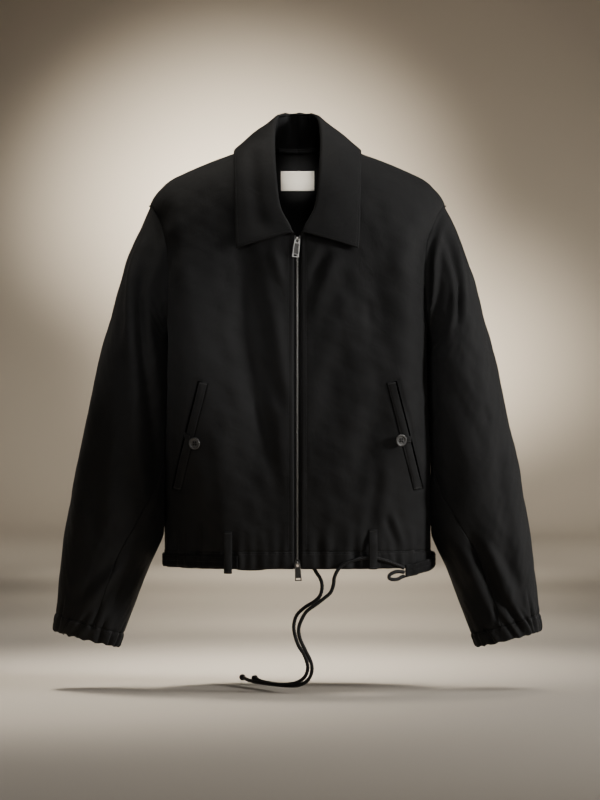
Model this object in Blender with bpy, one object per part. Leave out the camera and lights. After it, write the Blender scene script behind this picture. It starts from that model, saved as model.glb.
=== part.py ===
"""Utility jacket, hollow and filled out as if worn: one solid for each piece a maker cuts and sews on.

Metres, +Z up. The front faces -Y and the wearer's left is at +X. The origin is the middle of the
neck opening, level with the highest points of the shoulder seams, where a wearer carries the jacket.

The body form is a stack of rounded-rectangle rings, closed over the shoulders by a dome. A point on
it is named by a side (+1 left, -1 right), a turn in degrees (0 centre front, 90 side seam, 180
centre back) and a height, which is the real height up to the dome and goes on to 0 at the ridge.
"""
import math
from collections import namedtuple

import bmesh
import bpy
from mathutils import Matrix, Vector

# ---------------------------------------------------------------- driving sizes
LEFT, RIGHT = 1, -1
SIDES = {"left": LEFT, "right": RIGHT}

WALL = 0.0015            # shell cloth with its seam allowances
CASING_WALL = 0.0026     # folded hem casing and cuff casing
COLLAR_WALL = 0.0020     # two layers of the collar fall
LAY_GAP = 0.0006         # between a panel and a piece sewn onto it
HALF_SEAM = 0.00015      # each piece stops this far short of a seam line

HEM = -0.6232            # lower edge of the body
CASING_TOP = -0.5975     # seam above the hem casing
UNDERARM = -0.2750
DOME_START = -0.2000     # above this the form closes over the shoulders
DOME_POWER = 2 / 2.2
FRONT_EDGE = 0.0060      # half the zip opening
SHOULDER_X = 0.0640      # neck end of the shoulder seam

BodyRing = namedtuple("BodyRing", "height half_width front back squareness")
BODY_RINGS = [
    BodyRing(-0.6400, 0.1985, 0.1185, 0.1130, 2.55),
    BodyRing(-0.6000, 0.1990, 0.1190, 0.1140, 2.55),
    BodyRing(-0.5250, 0.1995, 0.1205, 0.1150, 2.75),
    BodyRing(-0.4350, 0.1975, 0.1215, 0.1150, 3.30),
    BodyRing(-0.3450, 0.1945, 0.1225, 0.1160, 3.50),
    BodyRing(-0.2750, 0.1935, 0.1230, 0.1170, 3.40),
    BodyRing(-0.2000, 0.1985, 0.1225, 0.1180, 3.05),
    BodyRing(-0.1660, 0.2050, 0.1220, 0.1180, 2.75),
    BodyRing(-0.1260, 0.2130, 0.1215, 0.1180, 2.70),
    BodyRing(-0.0755, 0.2190, 0.1210, 0.1180, 2.70),
    BodyRing(0.0000, 0.2220, 0.1210, 0.1180, 2.70),
]

RidgePoint = namedtuple("RidgePoint", "x z")
SHOULDER_RIDGE = [
    RidgePoint(0.000, 0.0220), RidgePoint(0.030, 0.0180), RidgePoint(0.064, 0.0060),
    RidgePoint(0.096, -0.0060), RidgePoint(0.125, -0.0165), RidgePoint(0.161, -0.0315),
    RidgePoint(0.192, -0.0470), RidgePoint(0.206, -0.0600), RidgePoint(0.216, -0.0720),
    RidgePoint(0.222, -0.0850),
]

ArmholePoint = namedtuple("ArmholePoint", "round turn height")   # round: 0 shoulder, 180 underarm
ARMHOLE = [
    ArmholePoint(0, 90.0, 0.0000), ArmholePoint(25, 77.0, -0.0755), ArmholePoint(50, 69.0, -0.1260),
    ArmholePoint(75, 65.0, -0.1660), ArmholePoint(100, 66.0, -0.2000),
    ArmholePoint(130, 70.0, -0.2350), ArmholePoint(155, 78.0, -0.2620),
    ArmholePoint(180, 90.0, UNDERARM),
]

NeckPoint = namedtuple("NeckPoint", "part x height")             # part: 0 at the start, 1 at the end
FRONT_NECK = [
    NeckPoint(0.00, FRONT_EDGE, -0.1650), NeckPoint(0.20, 0.0240, -0.1515),
    NeckPoint(0.40, 0.0380, -0.1314), NeckPoint(0.60, 0.0530, -0.0940),
    NeckPoint(0.78, 0.0610, -0.0582), NeckPoint(0.90, 0.0635, -0.0250),
    NeckPoint(1.00, SHOULDER_X, 0.0000),
]
BACK_NECK = [
    NeckPoint(0.00, SHOULDER_X, 0.0000), NeckPoint(0.20, 0.0600, -0.0184),
    NeckPoint(0.40, 0.0500, -0.0354), NeckPoint(0.70, 0.0300, -0.0525),
    NeckPoint(1.00, 0.0000, -0.0600),
]

SleeveRing = namedtuple("SleeveRing", "outer_x outer_z inner_x inner_z half_depth mid_y")
SLEEVE_RINGS = [                                                 # the armhole itself comes before these
    SleeveRing(0.2510, -0.1545, 0.1985, -0.3020, 0.0780, 0.000),
    SleeveRing(0.2730, -0.2265, 0.1990, -0.3300, 0.0830, -0.002),
    SleeveRing(0.2970, -0.3180, 0.2005, -0.3780, 0.0800, -0.006),
    SleeveRing(0.3195, -0.4215, 0.2045, -0.4560, 0.0720, -0.010),
    SleeveRing(0.3370, -0.5070, 0.2065, -0.5370, 0.0620, -0.015),
    SleeveRing(0.3510, -0.6000, 0.2235, -0.6300, 0.0500, -0.020),
    SleeveRing(0.3610, -0.6930, 0.2595, -0.7230, 0.0380, -0.024),
]
CUFF_RING = SleeveRing(0.3635, -0.7200, 0.2665, -0.7440, 0.0300, -0.025)
FRONT_SEAM_ROUND = [157.5, 158, 162, 165, 160, 118, 103, 98]       # degrees round each sleeve ring
BACK_SEAM_ROUND = [157.5, 156, 154, 152, 148, 142, 134, 128]
SLEEVE_SQUARENESS = 2.15

LOWER_ROWS, UPPER_ROWS, HALF_COLUMNS = 10, 8, 14
FRONT_NECK_COLUMNS, BACK_NECK_COLUMNS = 6, 4
LOWER_SHARE = LOWER_ROWS / (LOWER_ROWS + UPPER_ROWS)
ARMHOLE_REACH = 3                                                # how fast the armhole's bend fades inwards

Fold = namedtuple("Fold", "side top_x top_z low_x low_z width height")
FRONT_FOLDS = [
    Fold(RIGHT, 0.150, -0.130, 0.104, -0.560, 0.040, 0.0100),
    Fold(RIGHT, 0.078, -0.160, 0.044, -0.440, 0.024, -0.0070),
    Fold(RIGHT, 0.056, -0.225, 0.018, -0.370, 0.018, 0.0030),
    Fold(LEFT, 0.074, -0.165, 0.030, -0.280, 0.020, 0.0035),
    Fold(LEFT, 0.070, -0.290, 0.090, -0.480, 0.034, -0.0040),
    Fold(LEFT, 0.154, -0.110, 0.160, -0.450, 0.028, 0.0055),
]
BACK_FOLDS = [
    Fold(LEFT, 0.110, -0.170, 0.060, -0.420, 0.034, 0.0045),
    Fold(RIGHT, 0.120, -0.190, 0.050, -0.450, 0.034, 0.0045),
    Fold(RIGHT, 0.060, -0.300, 0.090, -0.520, 0.028, -0.0040),
    Fold(LEFT, 0.040, -0.250, 0.110, -0.500, 0.026, -0.0035),
]

CollarStation = namedtuple("CollarStation", "part roll_x roll_y roll_z edge_x edge_y edge_z")
COLLAR_STATIONS = [                                              # part: 0 zip end, 1 centre back
    CollarStation(0.00, 0.0095, -0.1265, -0.1300, 0.0900, -0.1215, -0.1527),
    CollarStation(0.12, 0.0203, -0.1220, -0.1128, 0.0920, -0.1145, -0.1226),
    CollarStation(0.24, 0.0315, -0.1150, -0.0877, 0.0930, -0.1025, -0.0826),
    CollarStation(0.34, 0.0360, -0.1030, -0.0570, 0.0938, -0.0900, -0.0574),
    CollarStation(0.43, 0.0382, -0.0880, -0.0315, 0.0945, -0.0740, -0.0357),
    CollarStation(0.55, 0.0403, -0.0420, 0.0105, 0.0958, -0.0400, -0.0090),
    CollarStation(0.68, 0.0400, -0.0020, 0.0370, 0.0960, -0.0040, -0.0005),
    CollarStation(0.80, 0.0350, 0.0300, 0.0520, 0.0850, 0.0420, -0.0040),
    CollarStation(0.90, 0.0220, 0.0550, 0.0598, 0.0530, 0.0700, -0.0130),
    CollarStation(0.96, 0.0090, 0.0645, 0.0600, 0.0225, 0.0820, -0.0215),
    CollarStation(1.00, 0.0000, 0.0655, 0.0600, 0.0000, 0.0835, -0.0225),
]
NECK_TURN = 0.60                                                 # collar part at the shoulder seam
COLLAR_CROWN = 0.0030

ZIP_TOP, ZIP_LOW = -0.1355, -0.6140
CHAIN_WIDTH, CHAIN_THICK = 0.0040, 0.0022
TAPE_WIDTH, TAPE_THICK, TAPE_GAP = 0.0100, 0.0010, 0.0003
ZIP_SINK = 0.0033                                                # chain centre behind the front's face
PLATE = namedtuple("Plate", "width height thick")(0.0096, 0.0105, 0.0011)
PLATE_SPACE = 0.0040
BAIL = namedtuple("Bail", "width thick reach height")(0.0016, 0.0009, 0.0044, 0.0052)
PULL = namedtuple("Pull", "width length thick bar slot_width slot_length")(
    0.0104, 0.0243, 0.0012, 0.0011, 0.0034, 0.0046)
SLIDER_TOP_Z, SLIDER_LOW_Z = -0.1392, -0.6140
PULL_LEAN = math.radians(6)                                      # sideways
PULL_SLOPE = math.radians(7)                                     # the upper tab lies along the chest

Welt = namedtuple("Welt", "x z")
WELT_CORNERS = {
    "low_inner": Welt(0.1720, -0.5086), "low_outer": Welt(0.1855, -0.5066),
    "top_inner": Welt(0.1306, -0.3499), "top_outer": Welt(0.1444, -0.3469),
}
WELT_THICK, TAB_THICK, TAB_WIDTH = 0.0018, 0.0012, 0.0100
Closure = namedtuple("Closure", "button_x button_z tab_x tab_z")
CLOSURES = {LEFT: Closure(0.1514, -0.4341, 0.1677, -0.4326),
            RIGHT: Closure(0.1500, -0.4386, 0.1665, -0.4267)}
BUTTON_RADIUS, BUTTON_THICK = 0.00875, 0.0028
THREAD_HOLE, THREAD_SPREAD = 0.0009, 0.0016

Loop = namedtuple("Loop", "side face x width top low stand")
BELT_LOOPS = {
    "belt_loop_front_right": Loop(RIGHT, "front", 0.1020, 0.0122, -0.5680, -0.6298, 0.0046),
    "belt_loop_front_left": Loop(LEFT, "front", 0.1112, 0.0124, -0.5650, -0.6235, 0.0072),
    "belt_loop_back_right": Loop(RIGHT, "back", 0.1000, 0.0122, -0.5670, -0.6270, 0.0046),
    "belt_loop_back_left": Loop(LEFT, "back", 0.1000, 0.0122, -0.5670, -0.6270, 0.0046),
}
LOOP_THICK = 0.0016

BeltPoint = namedtuple("BeltPoint", "bearing middle lift")       # bearing: from centre front over the right
BELT_ROUTE = [
    BeltPoint(20.5, -0.6123, 0.0006), BeltPoint(60, -0.6125, 0.0006), BeltPoint(90, -0.6130, 0.0010),
    BeltPoint(130, -0.6125, 0.0006), BeltPoint(180, -0.6120, 0.0006), BeltPoint(230, -0.6120, 0.0006),
    BeltPoint(255, -0.6115, 0.0020), BeltPoint(270, -0.6125, 0.0050), BeltPoint(290, -0.6190, 0.0050),
    BeltPoint(313, -0.6273, 0.0040),
]
BELT_WIDTH, BELT_THICK = 0.0182, 0.0030

LABEL = namedtuple("Label", "half_width top low thick gap")(0.0261, -0.0262, -0.0567, 0.0010, 0.0022)
HANGER = namedtuple("Hanger", "half_width height thick stand")(0.0280, 0.0080, 0.0010, 0.0060)

CORD_RADIUS = 0.00275
RoutePoint = namedtuple("RoutePoint", "x y z")
LONG_CORD = [
    RoutePoint(0.1568, -0.0940, -0.6222), RoutePoint(0.1490, -0.0968, -0.6185),
    RoutePoint(0.1385, -0.1012, -0.6140), RoutePoint(0.1255, -0.1064, -0.6098),
    RoutePoint(0.1115, -0.1108, -0.6067), RoutePoint(0.0970, -0.1144, -0.6067),
    RoutePoint(0.0845, -0.1166, -0.6092), RoutePoint(0.0722, -0.1186, -0.6135),
    RoutePoint(0.0630, -0.1199, -0.6190), RoutePoint(0.0576, -0.1207, -0.6265),
    RoutePoint(0.0540, -0.1208, -0.6355), RoutePoint(0.0525, -0.1205, -0.6462),
    RoutePoint(0.0482, -0.1200, -0.6570), RoutePoint(0.0380, -0.1195, -0.6662),
    RoutePoint(0.0256, -0.1190, -0.6755), RoutePoint(0.0133, -0.1185, -0.6848),
    RoutePoint(0.0059, -0.1180, -0.6972), RoutePoint(0.0018, -0.1175, -0.7105),
    RoutePoint(0.0038, -0.1168, -0.7245), RoutePoint(0.0112, -0.1160, -0.7412),
    RoutePoint(0.0186, -0.1150, -0.7560), RoutePoint(0.0214, -0.1130, -0.7680),
    RoutePoint(0.0190, -0.1100, -0.7800), RoutePoint(0.0115, -0.1050, -0.7895),
    RoutePoint(-0.0010, -0.0955, -0.7952), RoutePoint(-0.0180, -0.0780, -0.7968),
    RoutePoint(-0.0370, -0.0520, -0.7970), RoutePoint(-0.0560, -0.0220, -0.7970),
    RoutePoint(-0.0710, 0.0080, -0.7966), RoutePoint(-0.0810, 0.0330, -0.7945),
]
SHORT_CORD = [
    RoutePoint(0.0190, -0.1122, -0.6010), RoutePoint(0.0196, -0.1100, -0.6070),
    RoutePoint(0.0208, -0.1086, -0.6140), RoutePoint(0.0240, -0.1082, -0.6215),
    RoutePoint(0.0290, -0.1085, -0.6300), RoutePoint(0.0335, -0.1090, -0.6370),
    RoutePoint(0.0362, -0.1095, -0.6480), RoutePoint(0.0335, -0.1100, -0.6612),
    RoutePoint(0.0255, -0.1105, -0.6700), RoutePoint(0.0110, -0.1105, -0.6790),
    RoutePoint(-0.0008, -0.1100, -0.6905), RoutePoint(-0.0052, -0.1095, -0.7052),
    RoutePoint(-0.0040, -0.1085, -0.7185), RoutePoint(0.0013, -0.1075, -0.7350),
    RoutePoint(0.0093, -0.1060, -0.7480), RoutePoint(0.0138, -0.1040, -0.7600),
    RoutePoint(0.0152, -0.1010, -0.7700), RoutePoint(0.0118, -0.0970, -0.7805),
    RoutePoint(0.0040, -0.0900, -0.7885), RoutePoint(-0.0080, -0.0780, -0.7940),
    RoutePoint(-0.0230, -0.0590, -0.7966), RoutePoint(-0.0390, -0.0330, -0.7970),
    RoutePoint(-0.0540, -0.0050, -0.7966), RoutePoint(-0.0620, 0.0150, -0.7945),
]
CORD_BIGHT = [
    RoutePoint(0.1568, -0.0940, -0.6283), RoutePoint(0.1520, -0.0968, -0.6275),
    RoutePoint(0.1450, -0.1000, -0.6275), RoutePoint(0.1380, -0.1035, -0.6300),
    RoutePoint(0.1345, -0.1055, -0.6335), RoutePoint(0.1355, -0.1055, -0.6372),
    RoutePoint(0.1410, -0.1030, -0.6388), RoutePoint(0.1480, -0.0998, -0.6380),
    RoutePoint(0.1530, -0.0965, -0.6355), RoutePoint(0.1570, -0.0940, -0.6343),
]
CORD_STEP = 0.0120
KNOT_RADIUS, KNOT_LENGTH = 0.0048, 0.0110

Finish = namedtuple("Finish", "color roughness metallic")
FINISHES = {
    "shell_cloth": Finish((0.012, 0.012, 0.013), 0.85, 0.0),
    "belt_cloth": Finish((0.013, 0.013, 0.014), 0.82, 0.0),
    "zip_tape": Finish((0.010, 0.010, 0.011), 0.80, 0.0),
    "zip_metal": Finish((0.62, 0.61, 0.58), 0.28, 1.0),
    "button_horn": Finish((0.055, 0.053, 0.050), 0.35, 0.0),
    "label_satin": Finish((0.80, 0.76, 0.68), 0.45, 0.0),
    "cord_braid": Finish((0.014, 0.014, 0.015), 0.75, 0.0),
}


# ---------------------------------------------------------------- curves through tables
def between(places, values, at):
    """A smooth curve through (place, value) pairs that never swings past them."""
    if at <= places[0]:
        return values[0]
    if at >= places[-1]:
        return values[-1]
    slopes = [(values[i + 1] - values[i]) / (places[i + 1] - places[i]) for i in range(len(places) - 1)]
    k = max(i for i in range(len(places) - 1) if places[i] <= at)

    def tangent(i):
        if i in (0, len(places) - 1):
            return slopes[0] if i == 0 else slopes[-1]
        a, b = slopes[i - 1], slopes[i]
        return 0.0 if a * b <= 0 else 2 * a * b / (a + b)

    width = places[k + 1] - places[k]
    t = (at - places[k]) / width
    return (values[k] * (1 + 2 * t) * (1 - t) ** 2 + values[k + 1] * t * t * (3 - 2 * t)
            + width * (tangent(k) * t * (1 - t) ** 2 - tangent(k + 1) * t * t * (1 - t)))


def column(table, key, value, at):
    """Reads one named column of a table at a place in its key column."""
    return between([getattr(row, key) for row in table], [getattr(row, value) for row in table], at)


def spline_point(points, at):
    """Catmull-Rom curve through a list of vectors, at a place counted in points."""
    k = min(int(at), len(points) - 2)
    t = at - k
    b, c = points[k], points[k + 1]
    a = points[k - 1] if k else b * 2 - c
    d = points[k + 2] if k + 2 < len(points) else c * 2 - b
    return ((b * 2) + (c - a) * t + (a * 2 - b * 5 + c * 4 - d) * t * t
            + (b * 3 - a - c * 3 + d) * t ** 3) * 0.5


def power_of(value, exponent):
    """value ** exponent that keeps the sign of value."""
    return math.copysign(abs(value) ** exponent, value)


# ---------------------------------------------------------------- the body form
def form_point(side, turn, height):
    """The plain form, without folds."""
    width = column(BODY_RINGS, "height", "half_width", height)
    power = 2 / column(BODY_RINGS, "height", "squareness", height)
    sine, cosine = math.sin(math.radians(turn)), math.cos(math.radians(turn))
    depth = column(BODY_RINGS, "height", "front" if cosine > 0 else "back", height)
    x = width * power_of(sine, power)
    y = -depth * power_of(cosine, power)
    if height <= DOME_START:
        return Vector((side * x, y, height))
    rise = (height - DOME_START) / -DOME_START * math.pi / 2
    ridge = column(SHOULDER_RIDGE, "x", "z", abs(x))
    z = DOME_START + (ridge - DOME_START) * math.sin(rise) ** DOME_POWER
    return Vector((side * x, y * abs(math.cos(rise)) ** DOME_POWER, z))


def form_normal(side, turn, height):
    """Outward direction of the form."""
    height = min(height, -0.0005)
    turn = min(max(turn, 0.4), 179.6)
    if height > -0.12 and abs(turn - 90) < 3:
        turn = 87.0 if turn <= 90 else 93.0
    step_turn, step_height = 0.2, 0.0004
    around = form_point(side, turn + step_turn, height) - form_point(side, turn - step_turn, height)
    up = form_point(side, turn, height + step_height) - form_point(side, turn, height - step_height)
    return around.cross(up).normalized() * side


def fold_height(folds, side, x, z):
    """Height of the folds above the form at a place seen from the front."""
    total = 0.0
    for fold in folds:
        if fold.side != side:
            continue
        start, run = Vector((fold.top_x, fold.top_z)), Vector(
            (fold.low_x - fold.top_x, fold.low_z - fold.top_z))
        offset = Vector((x, z)) - start
        along = offset.dot(run) / run.length_squared
        across = (offset - run * along).length
        ends = math.exp(-max(0.0, abs(along - 0.5) - 0.25) ** 2 / 0.03)
        total += fold.height * ends * math.exp(-(across / fold.width) ** 2)
    return total


def fade(value, low, high):
    """0 below low, 1 above high, smooth between."""
    t = min(max((value - low) / (high - low), 0.0), 1.0)
    return t * t * (3 - 2 * t)


def body_point(side, turn, height, lift=0.0):
    """A point of the jacket's outer face, moved out by lift."""
    point = form_point(side, turn, height)
    normal = form_normal(side, turn, height)
    x = abs(point.x)
    folds = FRONT_FOLDS if turn < 90 else BACK_FOLDS
    open_cloth = fade(abs(turn - 90), 4, 30) * fade(-height, 0.06, 0.14) * fade(height, CASING_TOP, -0.55)
    if turn < 90:
        open_cloth *= fade(x, 0.012, 0.045)
    rise = fold_height(folds, side, x, point.z) * open_cloth
    return point + normal * (rise + lift)


def turn_at(x, height, face):
    """The turn at which the form is x wide, on its front or its back."""
    width = column(BODY_RINGS, "height", "half_width", height)
    squareness = column(BODY_RINGS, "height", "squareness", height)
    turn = math.degrees(math.asin(min(x / width, 1.0) ** (squareness / 2)))
    return turn if face == "front" else 180 - turn


def height_at(x, z):
    """The form's height coordinate for a real height z above the dome's start."""
    if z <= DOME_START:
        return z
    ridge = column(SHOULDER_RIDGE, "x", "z", x)
    share = min((z - DOME_START) / (ridge - DOME_START), 1.0)
    return DOME_START * (1 - math.degrees(math.asin(share ** (1 / DOME_POWER))) / 90)


def face_point(side, face, x, z, lift):
    """A point that lies on the front or the back at x and z, moved out by lift."""
    height = height_at(x, z)
    return body_point(side, turn_at(x, height, face), height, lift)


# ---------------------------------------------------------------- panel outlines in turn and height
def armhole_place(round_, face):
    """Turn and height of the armhole seam, from 0 at the shoulder to 180 at the underarm."""
    turn = column(ARMHOLE, "round", "turn", round_)
    height = column(ARMHOLE, "round", "height", round_)
    return (turn if face == "front" else 180 - turn), height


def neck_place(table, part, face):
    """Turn and height of the neck seam."""
    height = column(table, "part", "height", part)
    return turn_at(column(table, "part", "x", part), height, face), height


def upper_place(face, across, up):
    """Patch from the underarm line up to the neck and the shoulder seam, bent to the armhole."""
    neck, columns = (FRONT_NECK, FRONT_NECK_COLUMNS) if face == "front" else (BACK_NECK, BACK_NECK_COLUMNS)
    neck_share = columns / HALF_COLUMNS

    def centre(t):
        height = UNDERARM + (neck_end - UNDERARM) * t
        return (turn_at(FRONT_EDGE, height, face) if face == "front" else 180.0), height

    def top(s):
        if s <= neck_share:
            part = s / neck_share
            return neck_place(neck, part if face == "front" else 1 - part, face)
        start = turn_at(SHOULDER_X, 0.0, face)
        return start + (90 - start) * (s - neck_share) / (1 - neck_share), 0.0

    neck_end = FRONT_NECK[0].height if face == "front" else BACK_NECK[-1].height
    start = turn_at(FRONT_EDGE, UNDERARM, face) if face == "front" else 180.0
    low = (start + (90 - start) * across, UNDERARM)
    side = armhole_place(180 * (1 - up), face)
    place = []
    for axis in range(2):
        middle_line = (1 - up) * (start, UNDERARM)[axis] + up * top(0.0)[axis]
        side_line = (1 - up) * (90.0, UNDERARM)[axis] + up * top(1.0)[axis]
        value = (1 - up) * low[axis] + up * top(across)[axis]
        value += (1 - across) * (centre(up)[axis] - middle_line)
        value += across ** ARMHOLE_REACH * (side[axis] - side_line)
        place.append(value)
    return place


def lower_place(face, across, height):
    """Turn and height below the underarm line."""
    start = turn_at(FRONT_EDGE, height, face) if face == "front" else 180.0
    return start + (90 - start) * across, height


def panel_place(face, across, up):
    """Turn and height anywhere on a front or on half the back."""
    if up <= LOWER_SHARE:
        return lower_place(face, across,
                           CASING_TOP + HALF_SEAM + (UNDERARM - CASING_TOP) * up / LOWER_SHARE)
    return upper_place(face, across, (up - LOWER_SHARE) / (1 - LOWER_SHARE))


# ---------------------------------------------------------------- making solids
def finish_material(name):
    """The Principled material of one finish."""
    if name in bpy.data.materials:
        return bpy.data.materials[name]
    finish = FINISHES[name]
    material = bpy.data.materials.new(name)
    material.use_nodes = True
    shader = material.node_tree.nodes["Principled BSDF"]
    shader.inputs["Base Color"].default_value = (*finish.color, 1.0)
    shader.inputs["Roughness"].default_value = finish.roughness
    shader.inputs["Metallic"].default_value = finish.metallic
    material.diffuse_color = (*finish.color, 1.0)
    return material


def add_object(name, mesh_builder, finish):
    """Turns a bmesh into a named object with a finish."""
    bmesh.ops.recalc_face_normals(mesh_builder, faces=mesh_builder.faces)
    mesh = bpy.data.meshes.new(name)
    mesh_builder.to_mesh(mesh)
    mesh_builder.free()
    mesh.materials.append(finish_material(finish))
    mesh.shade_smooth()
    mesh.set_sharp_from_angle(angle=math.radians(40))
    thing = bpy.data.objects.new(name, mesh)
    bpy.context.scene.collection.objects.link(thing)
    return thing


def cloth_slab(name, columns, rows, place, finish):
    """A closed cloth wall: place(across, up, layer) gives its faces, layer 0 outside and 1 inside."""
    builder = bmesh.new()
    bmesh.ops.create_grid(builder, x_segments=columns, y_segments=rows, size=0.5)
    grown = bmesh.ops.extrude_face_region(builder, geom=builder.faces[:], use_keep_orig=True)
    for piece in grown["geom"]:
        if isinstance(piece, bmesh.types.BMVert):
            piece.co.z = 1.0
    for vertex in builder.verts:
        vertex.co = place(vertex.co.x + 0.5, vertex.co.y + 0.5, vertex.co.z)
    return add_object(name, builder, finish)


def cloth_ring(name, columns, rows, place, finish):
    """A closed cloth tube: across runs once round, so its first and last columns are welded."""
    builder = bmesh.new()
    bmesh.ops.create_grid(builder, x_segments=columns, y_segments=rows, size=0.5)
    grown = bmesh.ops.extrude_face_region(builder, geom=builder.faces[:], use_keep_orig=True)
    for piece in grown["geom"]:
        if isinstance(piece, bmesh.types.BMVert):
            piece.co.z = 1.0
    seam = [face for face in builder.faces
            if all(abs(abs(corner.co.x) - 0.5) < 1e-6 for corner in face.verts)]
    bmesh.ops.delete(builder, geom=seam, context="FACES_ONLY")
    for vertex in builder.verts:
        vertex.co = place(vertex.co.x + 0.5, vertex.co.y + 0.5, vertex.co.z)
    bmesh.ops.remove_doubles(builder, verts=builder.verts, dist=1e-6)
    return add_object(name, builder, finish)


def box(builder, low, high):
    """Adds an axis-aligned box between two corners."""
    made = bmesh.ops.create_cube(builder, size=1.0)["verts"]
    size = [b - a for a, b in zip(low, high)]
    middle = [(a + b) / 2 for a, b in zip(low, high)]
    bmesh.ops.transform(builder, verts=made, matrix=Matrix.Translation(middle) @ Matrix.Diagonal((*size, 1)))
    return made


def add_modifier_with(thing, other, operation):
    """Joins or cuts thing with other and hides other, which stays as a guide."""
    cut = thing.modifiers.new(other.name, "BOOLEAN")
    cut.operation = operation
    cut.object = other
    other.hide_render = True
    other.display_type = "WIRE"


# ---------------------------------------------------------------- body panels and hem
def body_slab_point(side, face, turn, height, wall, layer):
    """A point of a body panel's wall, kept short of the side and shoulder seams."""
    point = body_point(side, turn, height) - form_normal(side, turn, height) * wall * layer
    point.y += -HALF_SEAM if face == "front" else HALF_SEAM
    return point


def build_panels():
    """Two fronts and the back, from the casing seam to the neck and the armholes."""
    for name, side in SIDES.items():
        def front(across, up, layer, side=side):
            turn, height = panel_place("front", across, up)
            return body_slab_point(side, "front", turn, height, WALL, layer)
        cloth_slab(f"front_{name}", HALF_COLUMNS, LOWER_ROWS + UPPER_ROWS, front, "shell_cloth")

    def back(across, up, layer):
        side = LEFT if across < 0.5 else RIGHT
        turn, height = panel_place("back", abs(2 * across - 1), up)
        return body_slab_point(side, "back", turn, height, WALL, layer)
    cloth_slab("back", 2 * HALF_COLUMNS, LOWER_ROWS + UPPER_ROWS, back, "shell_cloth")


def build_hem_casing():
    """The casing below the casing seam: two fronts and the back."""
    top = CASING_TOP - HALF_SEAM
    for name, side in SIDES.items():
        def front(across, up, layer, side=side):
            turn, height = lower_place("front", across, HEM + (top - HEM) * up)
            return body_slab_point(side, "front", turn, height, CASING_WALL, layer)
        cloth_slab(f"hem_casing_{name}", HALF_COLUMNS, 1, front, "shell_cloth")

    def back(across, up, layer):
        side = LEFT if across < 0.5 else RIGHT
        turn, height = lower_place("back", abs(2 * across - 1), HEM + (top - HEM) * up)
        return body_slab_point(side, "back", turn, height, CASING_WALL, layer)
    cloth_slab("hem_casing_back", 2 * HALF_COLUMNS, 1, back, "shell_cloth")


# ---------------------------------------------------------------- sleeves
def ring_point(ring, side, round_):
    """A point on a sleeve ring: 0 outer side, 90 front, 180 inner side, -90 back."""
    outer = Vector((ring.outer_x, 0, ring.outer_z))
    inner = Vector((ring.inner_x, 0, ring.inner_z))
    power = 2 / SLEEVE_SQUARENESS
    angle = math.radians(round_)
    point = (outer + inner) / 2 + (outer - inner) / 2 * power_of(math.cos(angle), power)
    point.y = ring.mid_y - ring.half_depth * power_of(math.sin(angle), power)
    point.x *= side
    return point


def sleeve_point(side, round_, down):
    """The sleeve's outer face: down 0 is the armhole seam, 7 the cuff seam."""
    round_ = (round_ + 180) % 360 - 180
    face = "front" if round_ >= 0 else "back"
    start = body_point(side, *armhole_place(abs(round_), face))
    start.x += side * 2 * LAY_GAP
    rings = [start] + [ring_point(ring, side, round_) for ring in SLEEVE_RINGS]
    return spline_point(rings, down)


def sleeve_normal(side, round_, down):
    """Outward direction of the sleeve."""
    low, high = max(down - 0.02, 0.0), min(down + 0.02, len(SLEEVE_RINGS))
    around = sleeve_point(side, round_ + 1, down) - sleeve_point(side, round_ - 1, down)
    along = sleeve_point(side, round_, high) - sleeve_point(side, round_, low)
    return around.cross(along).normalized() * side


def build_sleeves():
    """Each sleeve is a top piece and a narrower under piece, joined by a front and a back seam."""
    rows = len(SLEEVE_RINGS)
    steps = list(range(rows + 1))
    seam_angle = 0.25
    for name, side in SIDES.items():
        for piece, columns in (("top", 14), ("under", 4)):
            def wall(across, up, layer, side=side, piece=piece):
                down = (1 - up) * rows
                front = between(steps, FRONT_SEAM_ROUND, down)
                back = between(steps, BACK_SEAM_ROUND, down)
                start, end = (-back, front) if piece == "top" else (front, 360 - back)
                round_ = start + seam_angle + (end - start - 2 * seam_angle) * across
                return sleeve_point(side, round_, down) - sleeve_normal(side, round_, down) * WALL * layer
            cloth_slab(f"sleeve_{piece}_{name}", columns, 12, wall, "shell_cloth")


def build_cuffs():
    """The elastic casing at the end of each sleeve."""
    seam_drop = 0.012
    for name, side in SIDES.items():
        def wall(across, up, layer, side=side):
            top = ring_point(SLEEVE_RINGS[-1], side, 360 * across)
            low = ring_point(CUFF_RING, side, 360 * across)
            centre = (ring_point(SLEEVE_RINGS[-1], side, 0) + ring_point(SLEEVE_RINGS[-1], side, 180)) / 2
            centre = centre + (low - top) * (1 - up)
            point = top + (low - top) * (seam_drop + (1 - seam_drop) * (1 - up))
            return point + (centre - point).normalized() * CASING_WALL * layer
        cloth_ring(f"cuff_{name}", 20, 1, wall, "shell_cloth")


# ---------------------------------------------------------------- collar
def collar_line(prefix, part):
    """A point of the roll or of the outer edge of the left half of the collar."""
    return Vector([column(COLLAR_STATIONS, "part", f"{prefix}_{axis}", part) for axis in "xyz"])


def fall_point(part, across):
    """The collar fall's outer face: across 0 at the roll, 1 at the outer edge."""
    roll, edge = collar_line("roll", part), collar_line("edge", part)
    outward = Vector((roll.x, roll.y * 0.4, 0.02)).normalized()
    return roll.lerp(edge, across) + outward * COLLAR_CROWN * math.sin(math.pi * across)


def fall_normal(part, across):
    """Outward direction of the fall."""
    low, high = max(part - 0.01, 0), min(part + 0.01, 1)
    along = fall_point(high, across) - fall_point(low, across)
    down = fall_point(part, min(across + 0.02, 1)) - fall_point(part, max(across - 0.02, 0))
    return down.cross(along).normalized()


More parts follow.
